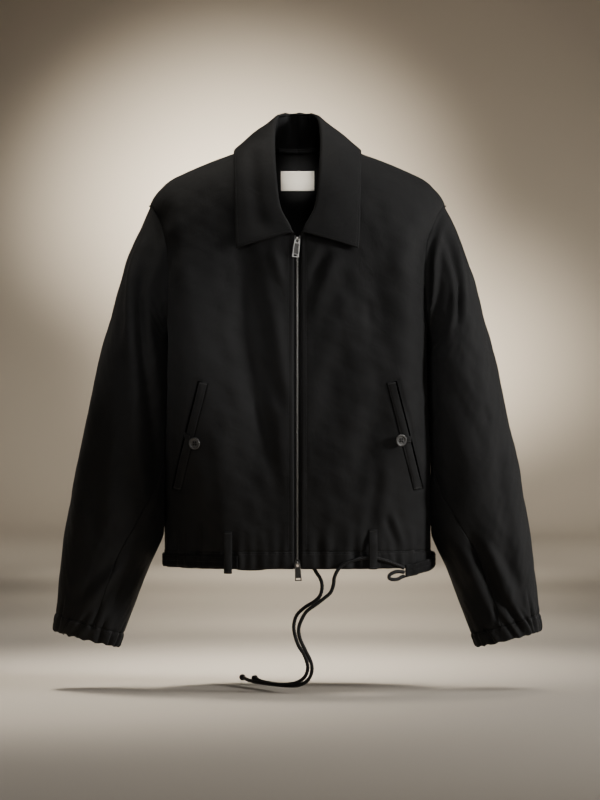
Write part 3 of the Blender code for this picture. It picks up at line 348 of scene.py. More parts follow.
@dataclass
class BodyForm:
    """Where the cloth of the body lies, with its creases."""

    gather_reach: float = 0.066
    gather_height: float = 0.0034
    drape_height: float = 0.0013
    rumple_height: float = 0.00085
    groove: float = 0.0019
    groove_away: float = 0.0008
    groove_width: float = 0.0019
    underarm_share: float = 0.555
    side_calm: tuple[float, float] = (0.5, 14.0)        # degrees from the side seam
    shoulder_calm: tuple[float, float] = (0.03, 0.12)   # below the ridge
    zip_calm: float = 0.032                             # from the centre line

    def __post_init__(self) -> None:
        """Draws the waves of each face."""
        self.drape = {face: Ripple(f"drape{face.value}", 0.07, 0.21, 0.35) for face in Face}
        self.rumple = {face: Ripple(f"rumple{face.value}", 0.018, 0.05, 0.9) for face in Face}
        self.gather = {face: Ripple(f"gather{face.value}", 0.011, 0.03, 0.1, 18) for face in Face}

    def form(self, side: Array | int, turn: Array, height: Array) -> Array:
        """The plain form, without creases.

        Args:
            side: +1 left or -1 right.
            turn: degrees from the centre front.
            height: height coordinate.

        Returns:
            Points.
        """
        power = 2 / BODY_RINGS.squareness(height)
        sine, cosine = np.sin(np.radians(turn)), np.cos(np.radians(turn))
        depth = np.where(cosine > 0, BODY_RINGS.front(height), BODY_RINGS.back(height))
        x = BODY_RINGS.half_width(height) * power_of(sine, power)
        y = -depth * power_of(cosine, power)
        rise = np.clip((height - DOME_START) / -DOME_START, 0.0, 1.0) * math.pi / 2
        domed = DOME_START + (RIDGE.z(np.abs(x)) - DOME_START) * np.sin(rise) ** DOME_POWER
        z = np.where(height > DOME_START, domed, height)
        return stack(side * x, y * np.abs(np.cos(rise)) ** DOME_POWER, z)

    def normal(self, side: Array | int, turn: Array, height: Array) -> Array:
        """Outward direction of the form at each place.

        Args:
            side: +1 left or -1 right.
            turn: degrees from the centre front.
            height: height coordinate.

        Returns:
            Unit directions.
        """
        height = np.minimum(height, -0.0005)
        turn = np.clip(turn, 0.4, 179.6)
        near_ridge = (height > -0.12) & (np.abs(turn - 90) < 3)
        turn = np.where(near_ridge, np.where(turn <= 90, 87.0, 93.0), turn)
        around = self.form(side, turn + 0.2, height) - self.form(side, turn - 0.2, height)
        up = self.form(side, turn, height + 0.0004) - self.form(side, turn, height - 0.0004)
        return unit(np.cross(around, up)) * np.asarray(side, float)[..., None]

    def rise(self, side: Array | int, turn: Array, points: Array, height: Array) -> Array:
        """Height of the cloth above the form.

        Args:
            side: +1 left or -1 right.
            turn: degrees from the centre front.
            points: the places on the plain form.
            height: height coordinate.

        Returns:
            The rise of each place.
        """
        x, z = np.abs(points[..., 0]), points[..., 2]
        signed = points[..., 0]
        total = np.zeros_like(x)
        for face, folds, here in ((Face.FRONT, FRONT_CREASES, turn < 90), (Face.BACK, BACK_CREASES, turn >= 90)):
            value = crease_field(folds[LEFT], signed, z) + crease_field(folds[RIGHT], -signed, z)
            value = value + self.drape_height * self.drape[face](signed, z)
            value = value + self.rumple_height * self.rumple[face](signed, z)
            low = fade(-z, -CASING_TOP - self.gather_reach, -CASING_TOP)
            pull = 0.35 + 0.65 * fade(x, 0.05, 0.15) if face is Face.FRONT else 1.0
            value = value + self.gather_height * pull * low**2 * self.gather[face](signed, z * 0.3)
            total = np.where(here, value, total)
        mask = fade(np.abs(turn - 90), *self.side_calm) * fade(-height, *self.shoulder_calm)
        mask = mask * np.where(turn < 90, fade(x, FRONT_EDGE, self.zip_calm), 1.0)
        return total * mask - np.where(turn < 90, self.welt_groove(x, z), 0.0)

    def welt_groove(self, x: Array, z: Array) -> Array:
        """Depth of the groove where the cloth turns in round the pocket welts.

        Args:
            x: distance from the centre line.
            z: real height.

        Returns:
            The depth at each place.
        """
        (low_in, low_out), (top_in, top_out) = WELT_LOW, WELT_TOP
        low, top = (np.add(low_in, low_out) / 2, np.add(top_in, top_out) / 2)
        length, half = math.dist(low, top), math.dist(low_in, low_out) / 2
        run = (top - low) / length
        along = (x - low[0]) * run[0] + (z - low[1]) * run[1] - length / 2
        across = (x - low[0]) * run[1] - (z - low[1]) * run[0]
        away = np.maximum(np.abs(across) - half, np.abs(along) - length / 2)
        deep = 0.7 + 0.3 * np.sign(across)
        return self.groove * deep * np.exp(-(((away - self.groove_away) / self.groove_width) ** 2))

    def place(self, side: Array | int, turn: Array, height: Array, lift: float = 0.0) -> Array:
        """Points of the cloth's outer face, moved out by lift.

        Args:
            side: +1 left or -1 right.
            turn: degrees from the centre front.
            height: height coordinate.
            lift: distance above the cloth.

        Returns:
            Points.
        """
        points = self.form(side, turn, height)
        out = self.rise(side, turn, points, height) + lift
        return points + self.normal(side, turn, height) * out[..., None]

    @staticmethod
    def turn_at(x: Array | float, height: Array | float, face: Face) -> Array:
        """The turn at which the form is x wide.

        Args:
            x: half width.
            height: height coordinate.
            face: front or back.

        Returns:
            Turns.
        """
        share = np.minimum(x / BODY_RINGS.half_width(height), 1.0)
        turn = np.degrees(np.arcsin(share ** (BODY_RINGS.squareness(height) / 2)))
        return turn if face is Face.FRONT else 180 - turn

    @staticmethod
    def height_at(x: Array, z: Array) -> Array:
        """The height coordinate of a real height z.

        Args:
            x: distance from the centre line.
            z: real height.

        Returns:
            Height coordinates.
        """
        share = np.clip((z - DOME_START) / (RIDGE.z(x) - DOME_START), 0.0, 1.0)
        domed = DOME_START * (1 - np.degrees(np.arcsin(share ** (1 / DOME_POWER))) / 90)
        return np.where(z <= DOME_START, z, domed)

    def on_face(self, side: int, face: Face, x: Array, z: Array, lift: Array | float) -> Array:
        """Points on the front or the back at x and z, moved out by lift.

        Args:
            side: +1 left or -1 right.
            face: front or back.
            x: distance from the centre line.
            z: real height.
            lift: distance above the cloth.

        Returns:
            Points.
        """
        x, z = np.asarray(x, float), np.asarray(z, float)
        near_x, near_z = x, z
        for _ in range(3):
            height = self.height_at(near_x, near_z)
            points = self.place(side, self.turn_at(near_x, height, face), height, lift)
            near_x = np.maximum(near_x + x - np.abs(points[..., 0]), 0.0)
            near_z = near_z + z - points[..., 2]
        return points

    @staticmethod
    def armhole(round_: Array, front: Array | bool) -> tuple[Array, Array]:
        """Turn and height of the armhole seam, from 0 at the shoulder to 180 at the underarm."""
        turn = ARMHOLE.turn(round_)
        return np.where(front, turn, 180 - turn), ARMHOLE.height(round_)

    def neck(self, table: Table, part: Array, face: Face) -> tuple[Array, Array]:
        """Turn and height of the neck seam."""
        height = table.height(part)
        return self.turn_at(table.x(part), height, face), height

    def upper(self, face: Face, across: Array, up: Array) -> tuple[Array, Array]:
        """From the underarm line up to the neck and the shoulder seam, bent to the armhole.

        Args:
            face: front or back.
            across: 0 at the centre to 1 at the armhole.
            up: 0 at the underarm to 1 at the top.

        Returns:
            Turns and heights.
        """
        neck, share = (FRONT_NECK, FRONT_NECK_SHARE) if face is Face.FRONT else (BACK_NECK, BACK_NECK_SHARE)
        start_part = np.clip(across / share, 0.0, 1.0)
        neck_turn, neck_height = self.neck(neck, start_part if face is Face.FRONT else 1 - start_part, face)
        shoulder = self.turn_at(SHOULDER_X, 0.0, face)
        on_neck = across <= share
        along = shoulder + (90 - shoulder) * (across - share) / (1 - share)
        top = (np.where(on_neck, neck_turn, along), np.where(on_neck, neck_height, 0.0))
        neck_end = float(FRONT_NECK.height(0.0) if face is Face.FRONT else BACK_NECK.height(1.0))
        height = UNDERARM + (neck_end - UNDERARM) * up
        middle_turn = self.turn_at(FRONT_EDGE, height, face) if face is Face.FRONT else np.full_like(up, 180.0)
        start = float(self.turn_at(FRONT_EDGE, UNDERARM, face)) if face is Face.FRONT else 180.0
        top_start = float(self.turn_at(FRONT_EDGE, neck_end, face)) if face is Face.FRONT else 180.0
        armhole = self.armhole(180 * (1 - up), face is Face.FRONT)
        low = (start + (90 - start) * across, np.full_like(across, UNDERARM))
        ends = ((start, 90.0, top_start, 90.0), (UNDERARM, UNDERARM, neck_end, 0.0))
        result = []
        for axis, centre in enumerate((middle_turn, height)):
            low_in, low_out, top_in, top_out = ends[axis]
            value = (1 - up) * low[axis] + up * top[axis]
            value = value + (1 - across) * (centre - ((1 - up) * low_in + up * top_in))
            value = value + across**3 * (armhole[axis] - ((1 - up) * low_out + up * top_out))
            result.append(value)
        return result[0], result[1]

    def lower(self, face: Face, across: Array, height: Array) -> tuple[Array, Array]:
        """Turn and height below the underarm line."""
        start = self.turn_at(FRONT_EDGE, height, face) if face is Face.FRONT else 180.0
        return start + (90 - start) * across, height

    def panel(self, face: Face, across: Array, up: Array) -> tuple[Array, Array]:
        """Turn and height anywhere on a front or on half the back.

        Args:
            face: front or back.
            across: 0 at the centre to 1 at the side.
            up: 0 at the casing to 1 at the top.

        Returns:
            Turns and heights.
        """
        share, bottom = self.underarm_share, CASING_TOP + HALF_SEAM
        low = self.lower(face, across, bottom + (UNDERARM - bottom) * np.minimum(up / share, 1.0))
        high = self.upper(face, across, np.clip((up - share) / (1 - share), 0.0, 1.0))
        return np.where(up <= share, low[0], high[0]), np.where(up <= share, low[1], high[1])


FORM = BodyForm()


# ---------- finishes
SHEEN_ROUGHNESS = 0.45
RAMP_ENDS = (0.25, 0.8)
BAND = 0.314             # width of one band of a wave texture at scale 1
PLAIN = (1.0, 1.0, 1.0)  # coordinates as they are
TWILL_ANGLE = math.radians(27)
BRAID_ANGLE = math.radians(38)


class Shader:
    """A material being built: its node tree and its Principled node."""

    def __init__(self, finish: Finish) -> None:
        """Starts a material with its constants set on the shader's own sockets.

        Args:
            finish: what the material is made for.
        """
        self.finish = finish
        self.material = bpy.data.materials.new(finish.slot)
        self.material.use_nodes = True
        self.tree = self.material.node_tree
        self.node = self.tree.nodes["Principled BSDF"]
        for name, value in (("Base Color", (*finish.dark, 1.0)), ("Roughness", finish.roughness),
                            ("Metallic", finish.metallic), ("Specular IOR Level", finish.specular),
                            ("Sheen Weight", finish.sheen), ("Sheen Roughness", SHEEN_ROUGHNESS)):
            self.node.inputs[name].default_value = value

    def feed(self, socket: NodeSocket, value: NodeSocket | float | tuple[float, ...]) -> None:
        """Sets an input to a number or a colour, or links an output to it.

        Args:
            socket: the input.
            value: what it gets.
        """
        if isinstance(value, (int, float, tuple)):
            socket.default_value = value
        else:
            self.tree.links.new(value, socket)

    def add(self, kind: str, **inputs: NodeSocket | float | tuple[float, ...]) -> Node:
        """A new node with its inputs fed.

        Args:
            kind: the node's type after "ShaderNode".
            inputs: what each input gets, by its name.

        Returns:
            The node.
        """
        node = self.tree.nodes.new(f"ShaderNode{kind}")
        for name, value in inputs.items():
            self.feed(node.inputs[name], value)
        return node

    def coordinates(self, source: str, scale: Point, turn: float = 0.0) -> NodeSocket:
        """Coordinates from "UV" or "Object", scaled and turned about Z."""
        place = self.add("TexCoord").outputs[source]
        return self.add("Mapping", Vector=place, Scale=scale, Rotation=(0.0, 0.0, turn)).outputs["Vector"]

    def noise(self, vector: NodeSocket, scale: float, detail: float, distortion: float = 0.0) -> NodeSocket:
        """A noise texture's value."""
        return self.add("TexNoise", Vector=vector, Scale=scale, Detail=detail, Distortion=distortion).outputs["Fac"]

    def wave(self, vector: NodeSocket, pitch: float, direction: str, distortion: float) -> NodeSocket:
        """A band texture's value.

        Args:
            vector: the coordinates, in metres.
            pitch: from one band to the next.
            direction: the axis across the bands, "X" or "Y".
            distortion: how uneven the bands are.

        Returns:
            The value.
        """
        node = self.add("TexWave", Vector=vector, Scale=BAND / pitch, Distortion=distortion, Detail=1.0)
        node.wave_type = "BANDS"
        node.bands_direction = direction
        return node.outputs["Fac"]

    def maths(self, operation: str, *values: NodeSocket | float) -> NodeSocket:
        """A Math node.

        Args:
            operation: its name.
            values: an output or a number for each input.

        Returns:
            The result.
        """
        node = self.add("Math")
        node.operation = operation
        for socket, value in zip(node.inputs, values):
            self.feed(socket, value)
        return node.outputs[0]

    def colour(self, fac: NodeSocket) -> None:
        """Runs the base colour from the finish's dark to its light.

        Args:
            fac: the value that it follows.
        """
        ramp = self.add("ValToRGB", Fac=fac)
        tones = (self.finish.dark, self.finish.light)
        for element, position, tone in zip(ramp.color_ramp.elements, RAMP_ENDS, tones):
            element.position = position
            element.color = (*tone, 1.0)
        self.feed(self.node.inputs["Base Color"], ramp.outputs["Color"])

    def vary_roughness(self, fac: NodeSocket, spread: float) -> None:
        """Lets the roughness follow a value by half the spread each way."""
        value = self.maths("MULTIPLY_ADD", fac, spread, self.finish.roughness - spread / 2)
        self.feed(self.node.inputs["Roughness"], value)

    def bump(self, *layers: tuple[NodeSocket, float, float]) -> None:
        """Chains bump layers into the shader's normal.

        Args:
            layers: the height, the depth in metres and the strength of each.
        """
        normal = None
        for height, depth, strength in layers:
            step = self.add("Bump", Distance=depth, Strength=strength, Height=height)
            if normal is not None:
                self.feed(step.inputs["Normal"], normal)
            normal = step.outputs["Normal"]
        self.feed(self.node.inputs["Normal"], normal)


@dataclass(frozen=True)
class Finish:
    """A material of the jacket: its name, colours, roughness and relief."""

    slot: str
    dark: Point
    light: Point
    roughness: float
    sheen: float = 0.0
    metallic: float = 0.0
    specular: float = 0.5

    def make(self) -> Material:
        """Builds the material.

        Returns:
            The material, dressed with this finish's nodes.
        """
        shader = Shader(self)
        self.dress(shader)
        return shader.material

    def dress(self, shader: Shader) -> None:
        """Adds the nodes of one kind of finish."""
        raise NotImplementedError


@dataclass(frozen=True)
class TwillFinish(Finish):
    """Cotton twill: diagonal ribs over a faint weft, mottled a little by wear."""

    rib: float = 0.00085
    weft_share: float = 0.55

    def dress(self, shader: Shader) -> None:
        """Adds ribs, weft, slubs and mottling on the cloth's own UV map in metres.

        Args:
            shader: the material.
        """
        straight = shader.coordinates("UV", PLAIN)
        ribs = shader.wave(shader.coordinates("UV", PLAIN, TWILL_ANGLE), self.rib, "X", 0.6)
        weft = shader.wave(straight, self.rib * self.weft_share, "Y", 0.3)
        slub = shader.noise(shader.coordinates("UV", (90.0, 900.0, 1.0)), 1.0, 3.0)
        mottle = shader.noise(straight, 16.0, 4.0, 0.6)
        rumple = shader.noise(straight, 48.0, 3.0, 0.9)
        grain = shader.maths("MULTIPLY_ADD", ribs, 0.3, shader.maths("MULTIPLY", slub, 0.25))
        shader.colour(shader.maths("MULTIPLY_ADD", mottle, 0.55, grain))
        shader.vary_roughness(mottle, 0.1)
        shader.bump((mottle, 0.0026, 0.4), (rumple, 0.0014, 0.42), (weft, 0.00006, 0.35), (ribs, 0.00013, 0.62))


@dataclass(frozen=True)
class SatinFinish(Finish):
    """Woven satin with fine cross threads."""

    thread: float = 0.00045

    def dress(self, shader: Shader) -> None:
        """Adds threads and streaks on the label's own UV map.

        Args:
            shader: the material.
        """
        threads = shader.wave(shader.coordinates("UV", PLAIN), self.thread, "Y", 0.2)
        streaks = shader.noise(shader.coordinates("UV", (60.0, 700.0, 1.0)), 1.0, 2.0)
        shader.colour(shader.maths("MULTIPLY_ADD", threads, 0.25, shader.maths("MULTIPLY", streaks, 0.6)))
        shader.bump((threads, 0.00005, 0.4))


@dataclass(frozen=True)
class MetalFinish(Finish):
    """Tumbled nickel: fine scratches and random clouding; its darker copy on the sliders and in the tabs' sunk panels
    is painted shade.
    """

    def dress(self, shader: Shader) -> None:
        """Adds clouding and scratches on Object coordinates.

        Args:
            shader: the material.
        """
        cloud = shader.noise(shader.coordinates("Object", PLAIN), 900.0, 3.0)
        scratch = shader.noise(shader.coordinates("Object", (4000.0, 4000.0, 500.0)), 1.0, 2.0)
        shader.colour(cloud)
        shader.vary_roughness(cloud, 0.16)
        shader.bump((scratch, 0.00002, 0.35))


@dataclass(frozen=True)
class HornFinish(Finish):
    """Horn-effect resin with soft streaks."""

    def dress(self, shader: Shader) -> None:
        """Adds the streaks on Object coordinates.

        Args:
            shader: the material.
        """
        streaks = shader.noise(shader.coordinates("Object", (120.0, 120.0, 420.0), 0.5), 1.0, 4.0, 1.6)
        shader.colour(streaks)
        shader.vary_roughness(streaks, 0.1)
        shader.bump((streaks, 0.0001, 0.15))


@dataclass(frozen=True)
class ThreadFinish(Finish):
    """Yarn, tape and braid: fine crossing threads on a UV map in metres."""

    pitch: float = 0.0008

    def dress(self, shader: Shader) -> None:
        """Adds two crossing sets of threads and some fluff.

        Args:
            shader: the material.
        """
        one, two = (shader.wave(shader.coordinates("UV", PLAIN, angle), self.pitch, "X", 0.5)
                    for angle in (BRAID_ANGLE, -BRAID_ANGLE))
        both = shader.maths("MAXIMUM", one, two)
        fluff = shader.noise(shader.coordinates("Object", PLAIN), 900.0, 3.0)
        shader.colour(shader.maths("MULTIPLY_ADD", both, 0.5, shader.maths("MULTIPLY", fluff, 0.5)))
        shader.bump((both, 0.00012, 0.5))


# name, dark colour, light colour, roughness, sheen
FINISHES = (
    TwillFinish("shell_cloth", (0.005, 0.005, 0.0051), (0.0116, 0.0115, 0.0116), 0.72, 0.02, specular=0.14),
    # belt_cloth: the shell's twill painted lighter, a painted highlight on the belt loops that stand off the casing
    TwillFinish("belt_cloth", (0.0066, 0.0066, 0.0067), (0.015, 0.015, 0.0151), 0.72, 0.02, specular=0.12),
    # strap_cloth: the belt's twill painted darker, as painted shade on the belt strap
    TwillFinish("strap_cloth", (0.0024, 0.0024, 0.0025), (0.0062, 0.0062, 0.0063), 0.72, 0.02, specular=0.12),
    ThreadFinish("zip_tape", (0.004, 0.004, 0.0042), (0.008, 0.008, 0.0082), 0.8, 0.02, specular=0.12, pitch=0.0007),
    ThreadFinish("cord_braid", (0.0018, 0.0018, 0.0018), (0.009, 0.0088, 0.0086), 0.58, 0.02, specular=0.22),
    MetalFinish("zip_metal", (0.26, 0.255, 0.24), (0.5, 0.49, 0.47), 0.36, metallic=1.0),
    MetalFinish("zip_pull", (0.15, 0.148, 0.14), (0.3, 0.295, 0.28), 0.34, metallic=1.0),
    # zip_shade: the zip's metal painted darker, as painted shade on the slider bodies and in the tabs' sunk panels
    MetalFinish("zip_shade", (0.05, 0.0495, 0.047), (0.1, 0.099, 0.094), 0.46, metallic=1.0),
    HornFinish("button_horn", (0.018, 0.017, 0.016), (0.066, 0.063, 0.058), 0.36),
    # pocket_bag: a near-black colour that stands for shade; painted shade round the pocket welts and down in the
    # button holes
    ThreadFinish("pocket_bag", (0.0005, 0.0005, 0.0005), (0.001, 0.001, 0.001), 0.9, specular=0.02),
    SatinFinish("label_satin", (0.82, 0.75, 0.63), (0.92, 0.86, 0.75), 0.42, 0.1),
    ThreadFinish("thread", (0.01, 0.01, 0.01), (0.024, 0.023, 0.022), 0.55, 0.05, specular=0.25, pitch=0.0005),
)
MATERIALS = {finish.slot: finish.make() for finish in FINISHES}


# ---------- making pieces
RIM = 0.005              # grid lines lie closer together within this distance of an edge
CLOSE_UP = 2.2           # how much closer


class Edge(Enum):
    """An edge of a cloth grid."""

    START = "start"
    END = "end"
    BOTTOM = "bottom"
    TOP = "top"


@dataclass(frozen=True)
class Roll:
    """Cloth that rolls in along an edge, or along a line of stitches beside it, and puckers a little."""

    edge: Edge
    dip: float
    reach: float
    pucker: float = 0.0
    line: float = 0.0

    def rise(self, across: Array, up: Array) -> Array:
        """Height above the plain cloth.

        Args:
            across: distance along each row from the START edge.
            up: distance along each column from the BOTTOM edge.

        Returns:
            The rise at each place.
        """
        distance, along = {
            Edge.START: (across, up), Edge.END: (across[:, -1:] - across, up),
            Edge.BOTTOM: (up, across), Edge.TOP: (up[-1:] - up, across)}[self.edge]
        away = (distance - self.line) / self.reach
        near = np.exp(-((away / 3.6) ** 2)) - 0.7 * np.exp(-(away**2))
        return self.pucker * near * PUCKERS(along, distance * 0.2) - self.dip * np.exp(-(away**2))


PUCKERS = Ripple("puckers", 0.006, 0.019, 0.25, 16)
ENDS = (Edge.START, Edge.END)
SEAM_EDGE = dict(dip=0.0009, reach=0.0022, pucker=0.00034)
SOFT_SEAM = dict(dip=0.0004, reach=0.0016, pucker=0.00034)
STITCHED = dict(dip=0.00045, reach=0.001, pucker=0.00012)
TURNED = dict(dip=0.001, reach=0.0013)


def rolled(edges: Iterable[Edge], dip: float, reach: float, pucker: float = 0.0,
           line: float = 0.0) -> tuple[Roll, ...]:
    """The same roll along several edges."""
    return tuple(Roll(edge, dip, reach, pucker, line) for edge in edges)


def spread(count: int, runs: Array, at: Array) -> Array:
    """Places of grid lines, even along the cloth but closer together beside its edges.

    Args:
        count: number of cells.
        runs: length of each trial cell.
        at: places of the trial lines.

    Returns:
        count + 1 places.
    """
    reach = np.concatenate([[0.0], np.cumsum(runs)])
    middle = (reach[1:] + reach[:-1]) / 2
    close = np.exp(-((middle / RIM) ** 2)) + np.exp(-(((reach[-1] - middle) / RIM) ** 2))
    weight = np.concatenate([[0.0], np.cumsum(runs * (1 + CLOSE_UP * close))])
    return np.interp(np.linspace(0, 1, count + 1), weight / weight[-1], at)


def sample(place: Place, columns: int, rows: int) -> Array:
    """The points of a cloth on a well spread grid.

    Args:
        place: gives points for grids of across and up, each 0 to 1.
        columns: cells across.
        rows: cells up.

    Returns:
        Points, shape (rows + 1, columns + 1, 3).
    """
    trial = np.linspace(0, 1, 121)
    up, across = np.meshgrid(trial, trial, indexing="ij")
    points = place(across, up)
    runs = np.linalg.norm(np.diff(points, axis=1), axis=2).mean(axis=0)
    lifts = np.linalg.norm(np.diff(points, axis=0), axis=2).mean(axis=1)
    up, across = np.meshgrid(spread(rows, lifts, trial), spread(columns, runs, trial), indexing="ij")
    return place(across, up)


def reaches(points: Array) -> tuple[Array, Array]:
    """Distance of each grid point along its row and along its column.

    Args:
        points: the grid.

    Returns:
        Both distances.
    """
    run = np.cumsum(np.linalg.norm(np.diff(points, axis=1), axis=2), axis=1)
    lift = np.cumsum(np.linalg.norm(np.diff(points, axis=0), axis=2), axis=0)
    return np.pad(run, ((0, 0), (1, 0))), np.pad(lift, ((1, 0), (0, 0)))


def grid_normals(points: Array) -> Array:
    """Directions square to a grid of points, out of the paper when columns run right and rows up."""
    return unit(np.cross(np.gradient(points, axis=1), np.gradient(points, axis=0)))


def settle(piece: Object, finish: str, nodes: Sequence[str] = (), body: str = "root",
           slot: str | None = None) -> Object:
    """Gives a piece its finish, its body and the solids it stands for.

    Args:
        piece: the finished object.
        finish: the name of its material.
        nodes: nodes of the frame that it replaces.
        body: the body it rides on.
        slot: not used.

    Returns:
        The piece.
    """
    piece.data.materials.clear()
    piece.data.materials.append(MATERIALS[finish])
    if nodes:
        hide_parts(*nodes)
    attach(piece, body)
    slot or finish
    log.info("%s: %d faces, %s", piece.name, len(piece.data.polygons), finish)
    return piece


def add_piece(name: str, builder: BMesh, sharp: float = 40.0, recalculate: bool = False) -> Object:
    """Turns a bmesh into an object in the scene, shaded smooth up to a sharp angle.

    Args:
        name: its name.
        builder: the bmesh.
        sharp: the angle in degrees.
        recalculate: True to turn its faces outwards.

    Returns:
        The object.
    """
    if recalculate:
        bmesh.ops.recalc_face_normals(builder, faces=builder.faces)
    mesh = bpy.data.meshes.new(name)
    builder.to_mesh(mesh)
    builder.free()
    mesh.shade_smooth()
    mesh.set_sharp_from_angle(angle=math.radians(sharp))
    piece = bpy.data.objects.new(name, mesh)
    bpy.context.scene.collection.objects.link(piece)
    return piece


def skin(name: str, points: Array, closed: bool = False, flip: bool = False,
         caps: bool = False, sharp: float = 60.0) -> Object:
    """A sheet of quads through a grid of points, with a UV map in metres along its own surface.

    Args:
        name: the piece's name.
        points: shape (rows + 1, columns + 1, 3).
        closed: True if the first and the last column meet.
        flip: True if the visible face is the other one.
        caps: True to close the open ends.
        sharp: angle in degrees from which an edge stays sharp.

    Returns:
        The object.
    """
    rows, columns = points.shape[0] - 1, points.shape[1] - 1
    u, v = reaches(points)
    u = u - u[:, [columns // 2]]
    builder = bmesh.new()
    layer = builder.loops.layers.uv.new("UVMap")
    bmesh.ops.create_grid(builder, x_segments=columns, y_segments=rows, size=0.5)
    for vertex in builder.verts:
        j = round((vertex.co.x + 0.5) * columns)
        i = round((vertex.co.y + 0.5) * rows)
        vertex.co = points[i, j]
        for loop in vertex.link_loops:
            loop[layer].uv = (u[i, j], v[i, j])
    if closed:
        bmesh.ops.remove_doubles(builder, verts=builder.verts, dist=1e-6)
    if caps:
        bmesh.ops.holes_fill(builder, edges=[edge for edge in builder.edges if edge.is_boundary], sides=0)
    if flip:
        bmesh.ops.reverse_faces(builder, faces=builder.faces)
    return add_piece(name, builder, sharp, recalculate=caps)


def cloth(name: str, columns: int, rows: int, place: Place, wall: float = WALL, rolls: Sequence[Roll] = (),
          closed: bool = False, flip: bool = False) -> Object:
    """A thin cloth shell through place's points, rolled in at its seams and stitch lines.

    Args:
        name: the piece's name.
        columns: cells across.
        rows: cells up.
        place: gives the visible face's points for grids of across and up, each 0 to 1.
        wall: the cloth's thickness, behind the visible face.
        rolls: its seams, stitch lines and turned edges.
        closed: True if across runs once round and its ends meet.
        flip: True if across runs the other way round.

    Returns:
        The object, with its thickness as a live modifier.
    """
    points = sample(place, columns, rows)
    across, up = reaches(points)
    out = grid_normals(points) * (-1 if flip else 1)
    points = points + out * sum((roll.rise(across, up) for roll in rolls), np.zeros_like(up))[..., None]
    piece = skin(name, points, closed, flip)
    shell = piece.modifiers.new("wall", "SOLIDIFY")
    shell.thickness = wall
    shell.offset = -1.0
    return piece


def merge_in(builder: BMesh, shape: BMesh, matrix: Matrix | None = None) -> None:
    """Moves a finished bmesh into another one and frees it.

    Args:
        builder: the bmesh.
        shape: what is moved into it.
        matrix: a transform for the shape.
    """
    if matrix is not None:
        bmesh.ops.transform(shape, matrix=matrix, verts=shape.verts)
    carrier = bpy.data.meshes.new("carrier")
    shape.to_mesh(carrier)
    shape.free()
    builder.from_mesh(carrier)
    bpy.data.meshes.remove(carrier)


def block(low: Sequence[float], high: Sequence[float], bevel: float = 0.0, segments: int = 2) -> BMesh:
    """A box between two corners, with rounded edges.

    Args:
        low: its low corner.
        high: its high corner.
        bevel: how far the rounding reaches.
        segments: pieces of it.

    Returns:
        The box.
    """
    size = [b - a for a, b in zip(low, high)]
    middle = [(a + b) / 2 for a, b in zip(low, high)]
    shape = bmesh.new()
    bmesh.ops.create_cube(shape, size=1.0, matrix=Matrix.Translation(middle) @ Matrix.Diagonal((*size, 1)))
    if bevel:
        bmesh.ops.bevel(shape, geom=shape.edges[:], offset=bevel, segments=segments, profile=0.5,
                        affect="EDGES", material=-1)
    return shape


def grown_verts(grown: dict[str, list]) -> list[BMVert]:
    """The new vertices of an extrusion's result."""
    return [piece for piece in grown["geom"] if isinstance(piece, BMVert)]


def turn_round(builder: BMesh, outline: Sequence[tuple[float, float]], steps: int) -> None:
    """Spins an outline once round Z.

    Args:
        builder: what the shape is added to.
        outline: its (radius, height) points.
        steps: pieces of the circle.
    """
    line = [builder.verts.new((x, 0.0, z)) for x, z in outline]
    edges = [builder.edges.new(pair) for pair in zip(line, line[1:])]
    bmesh.ops.spin(builder, geom=line + edges, cent=(0, 0, 0), axis=(0, 0, 1), steps=steps,
                   angle=2 * math.pi, use_merge=True)


def even_line(line: Array, step: float) -> tuple[Array, Array]:
    """Places spaced evenly along a dense line.

    Args:
        line: points, shape (n, 3).
        step: rough spacing.

    Returns:
        The places and the direction at each.
    """
    reach = reach_of(line)
    count = max(int(round(reach[-1] / step)), 1)
    at = (np.arange(count) + 0.5) / count * reach[-1]
    ahead, behind = np.minimum(at + 0.3 * step, reach[-1]), np.maximum(at - 0.3 * step, 0.0)
    return points_at(line, reach, at), unit(points_at(line, reach, ahead) - points_at(line, reach, behind))


def facing(place: Sequence[float], direction: Sequence[float], axis: str = "X", up: str = "Z") -> Matrix:
    """The matrix of a place whose own axis points along a direction."""
    return Matrix.Translation(place) @ Vector(direction).to_track_quat(axis, up).to_matrix().to_4x4()


class Stitching:
    """Rows of short thread stitches; pitch, length and radius are those of one stitch."""

    def __init__(self, name: str, pitch: float = 0.0034, length: float = 0.0025, radius: float = 0.00028) -> None:
        """Starts an empty set of rows."""
        self.name, self.pitch, self.length, self.radius = name, pitch, length, radius
        self.builder = bmesh.new()

    def row(self, line: Array) -> None:
        """Lays one row of stitches along a dense line of points."""
        for place, along in zip(*even_line(line, self.pitch)):
            self.strand(facing(place, along), self.length)

    def bar(self, line: Array, direction: Sequence[float], length: float = 0.0024, pitch: float = 0.0006) -> None:
        """Lays a tack along a line, of close stitches that all lie in one direction."""
        for place in even_line(line, pitch)[0]:
            self.strand(facing(place, direction), length)

    def strand(self, place: Matrix, length: float, radius: float | None = None) -> None:
        """Lays one straight strand along its own X at a place.

        Args:
            place: its middle and turn.
            length: its length.
            radius: its radius, if not the stitches' own.
        """
        thick = radius or self.radius
        bmesh.ops.create_icosphere(self.builder, subdivisions=1, radius=1.0,
                                   matrix=place @ Matrix.Diagonal((length / 2, thick, thick, 1.0)))

    def finish(self, finish: str = "thread", slot: str = "shell_cloth") -> Object:
        """Makes the object and settles it on the cloth's body.

        Args:
            finish: the thread's finish.
            slot: the record's slot.

        Returns:
            The object.
        """
        piece = add_piece(self.name, self.builder, 60.0)
        add_front_uv(piece)
        return settle(piece, finish, slot=slot)


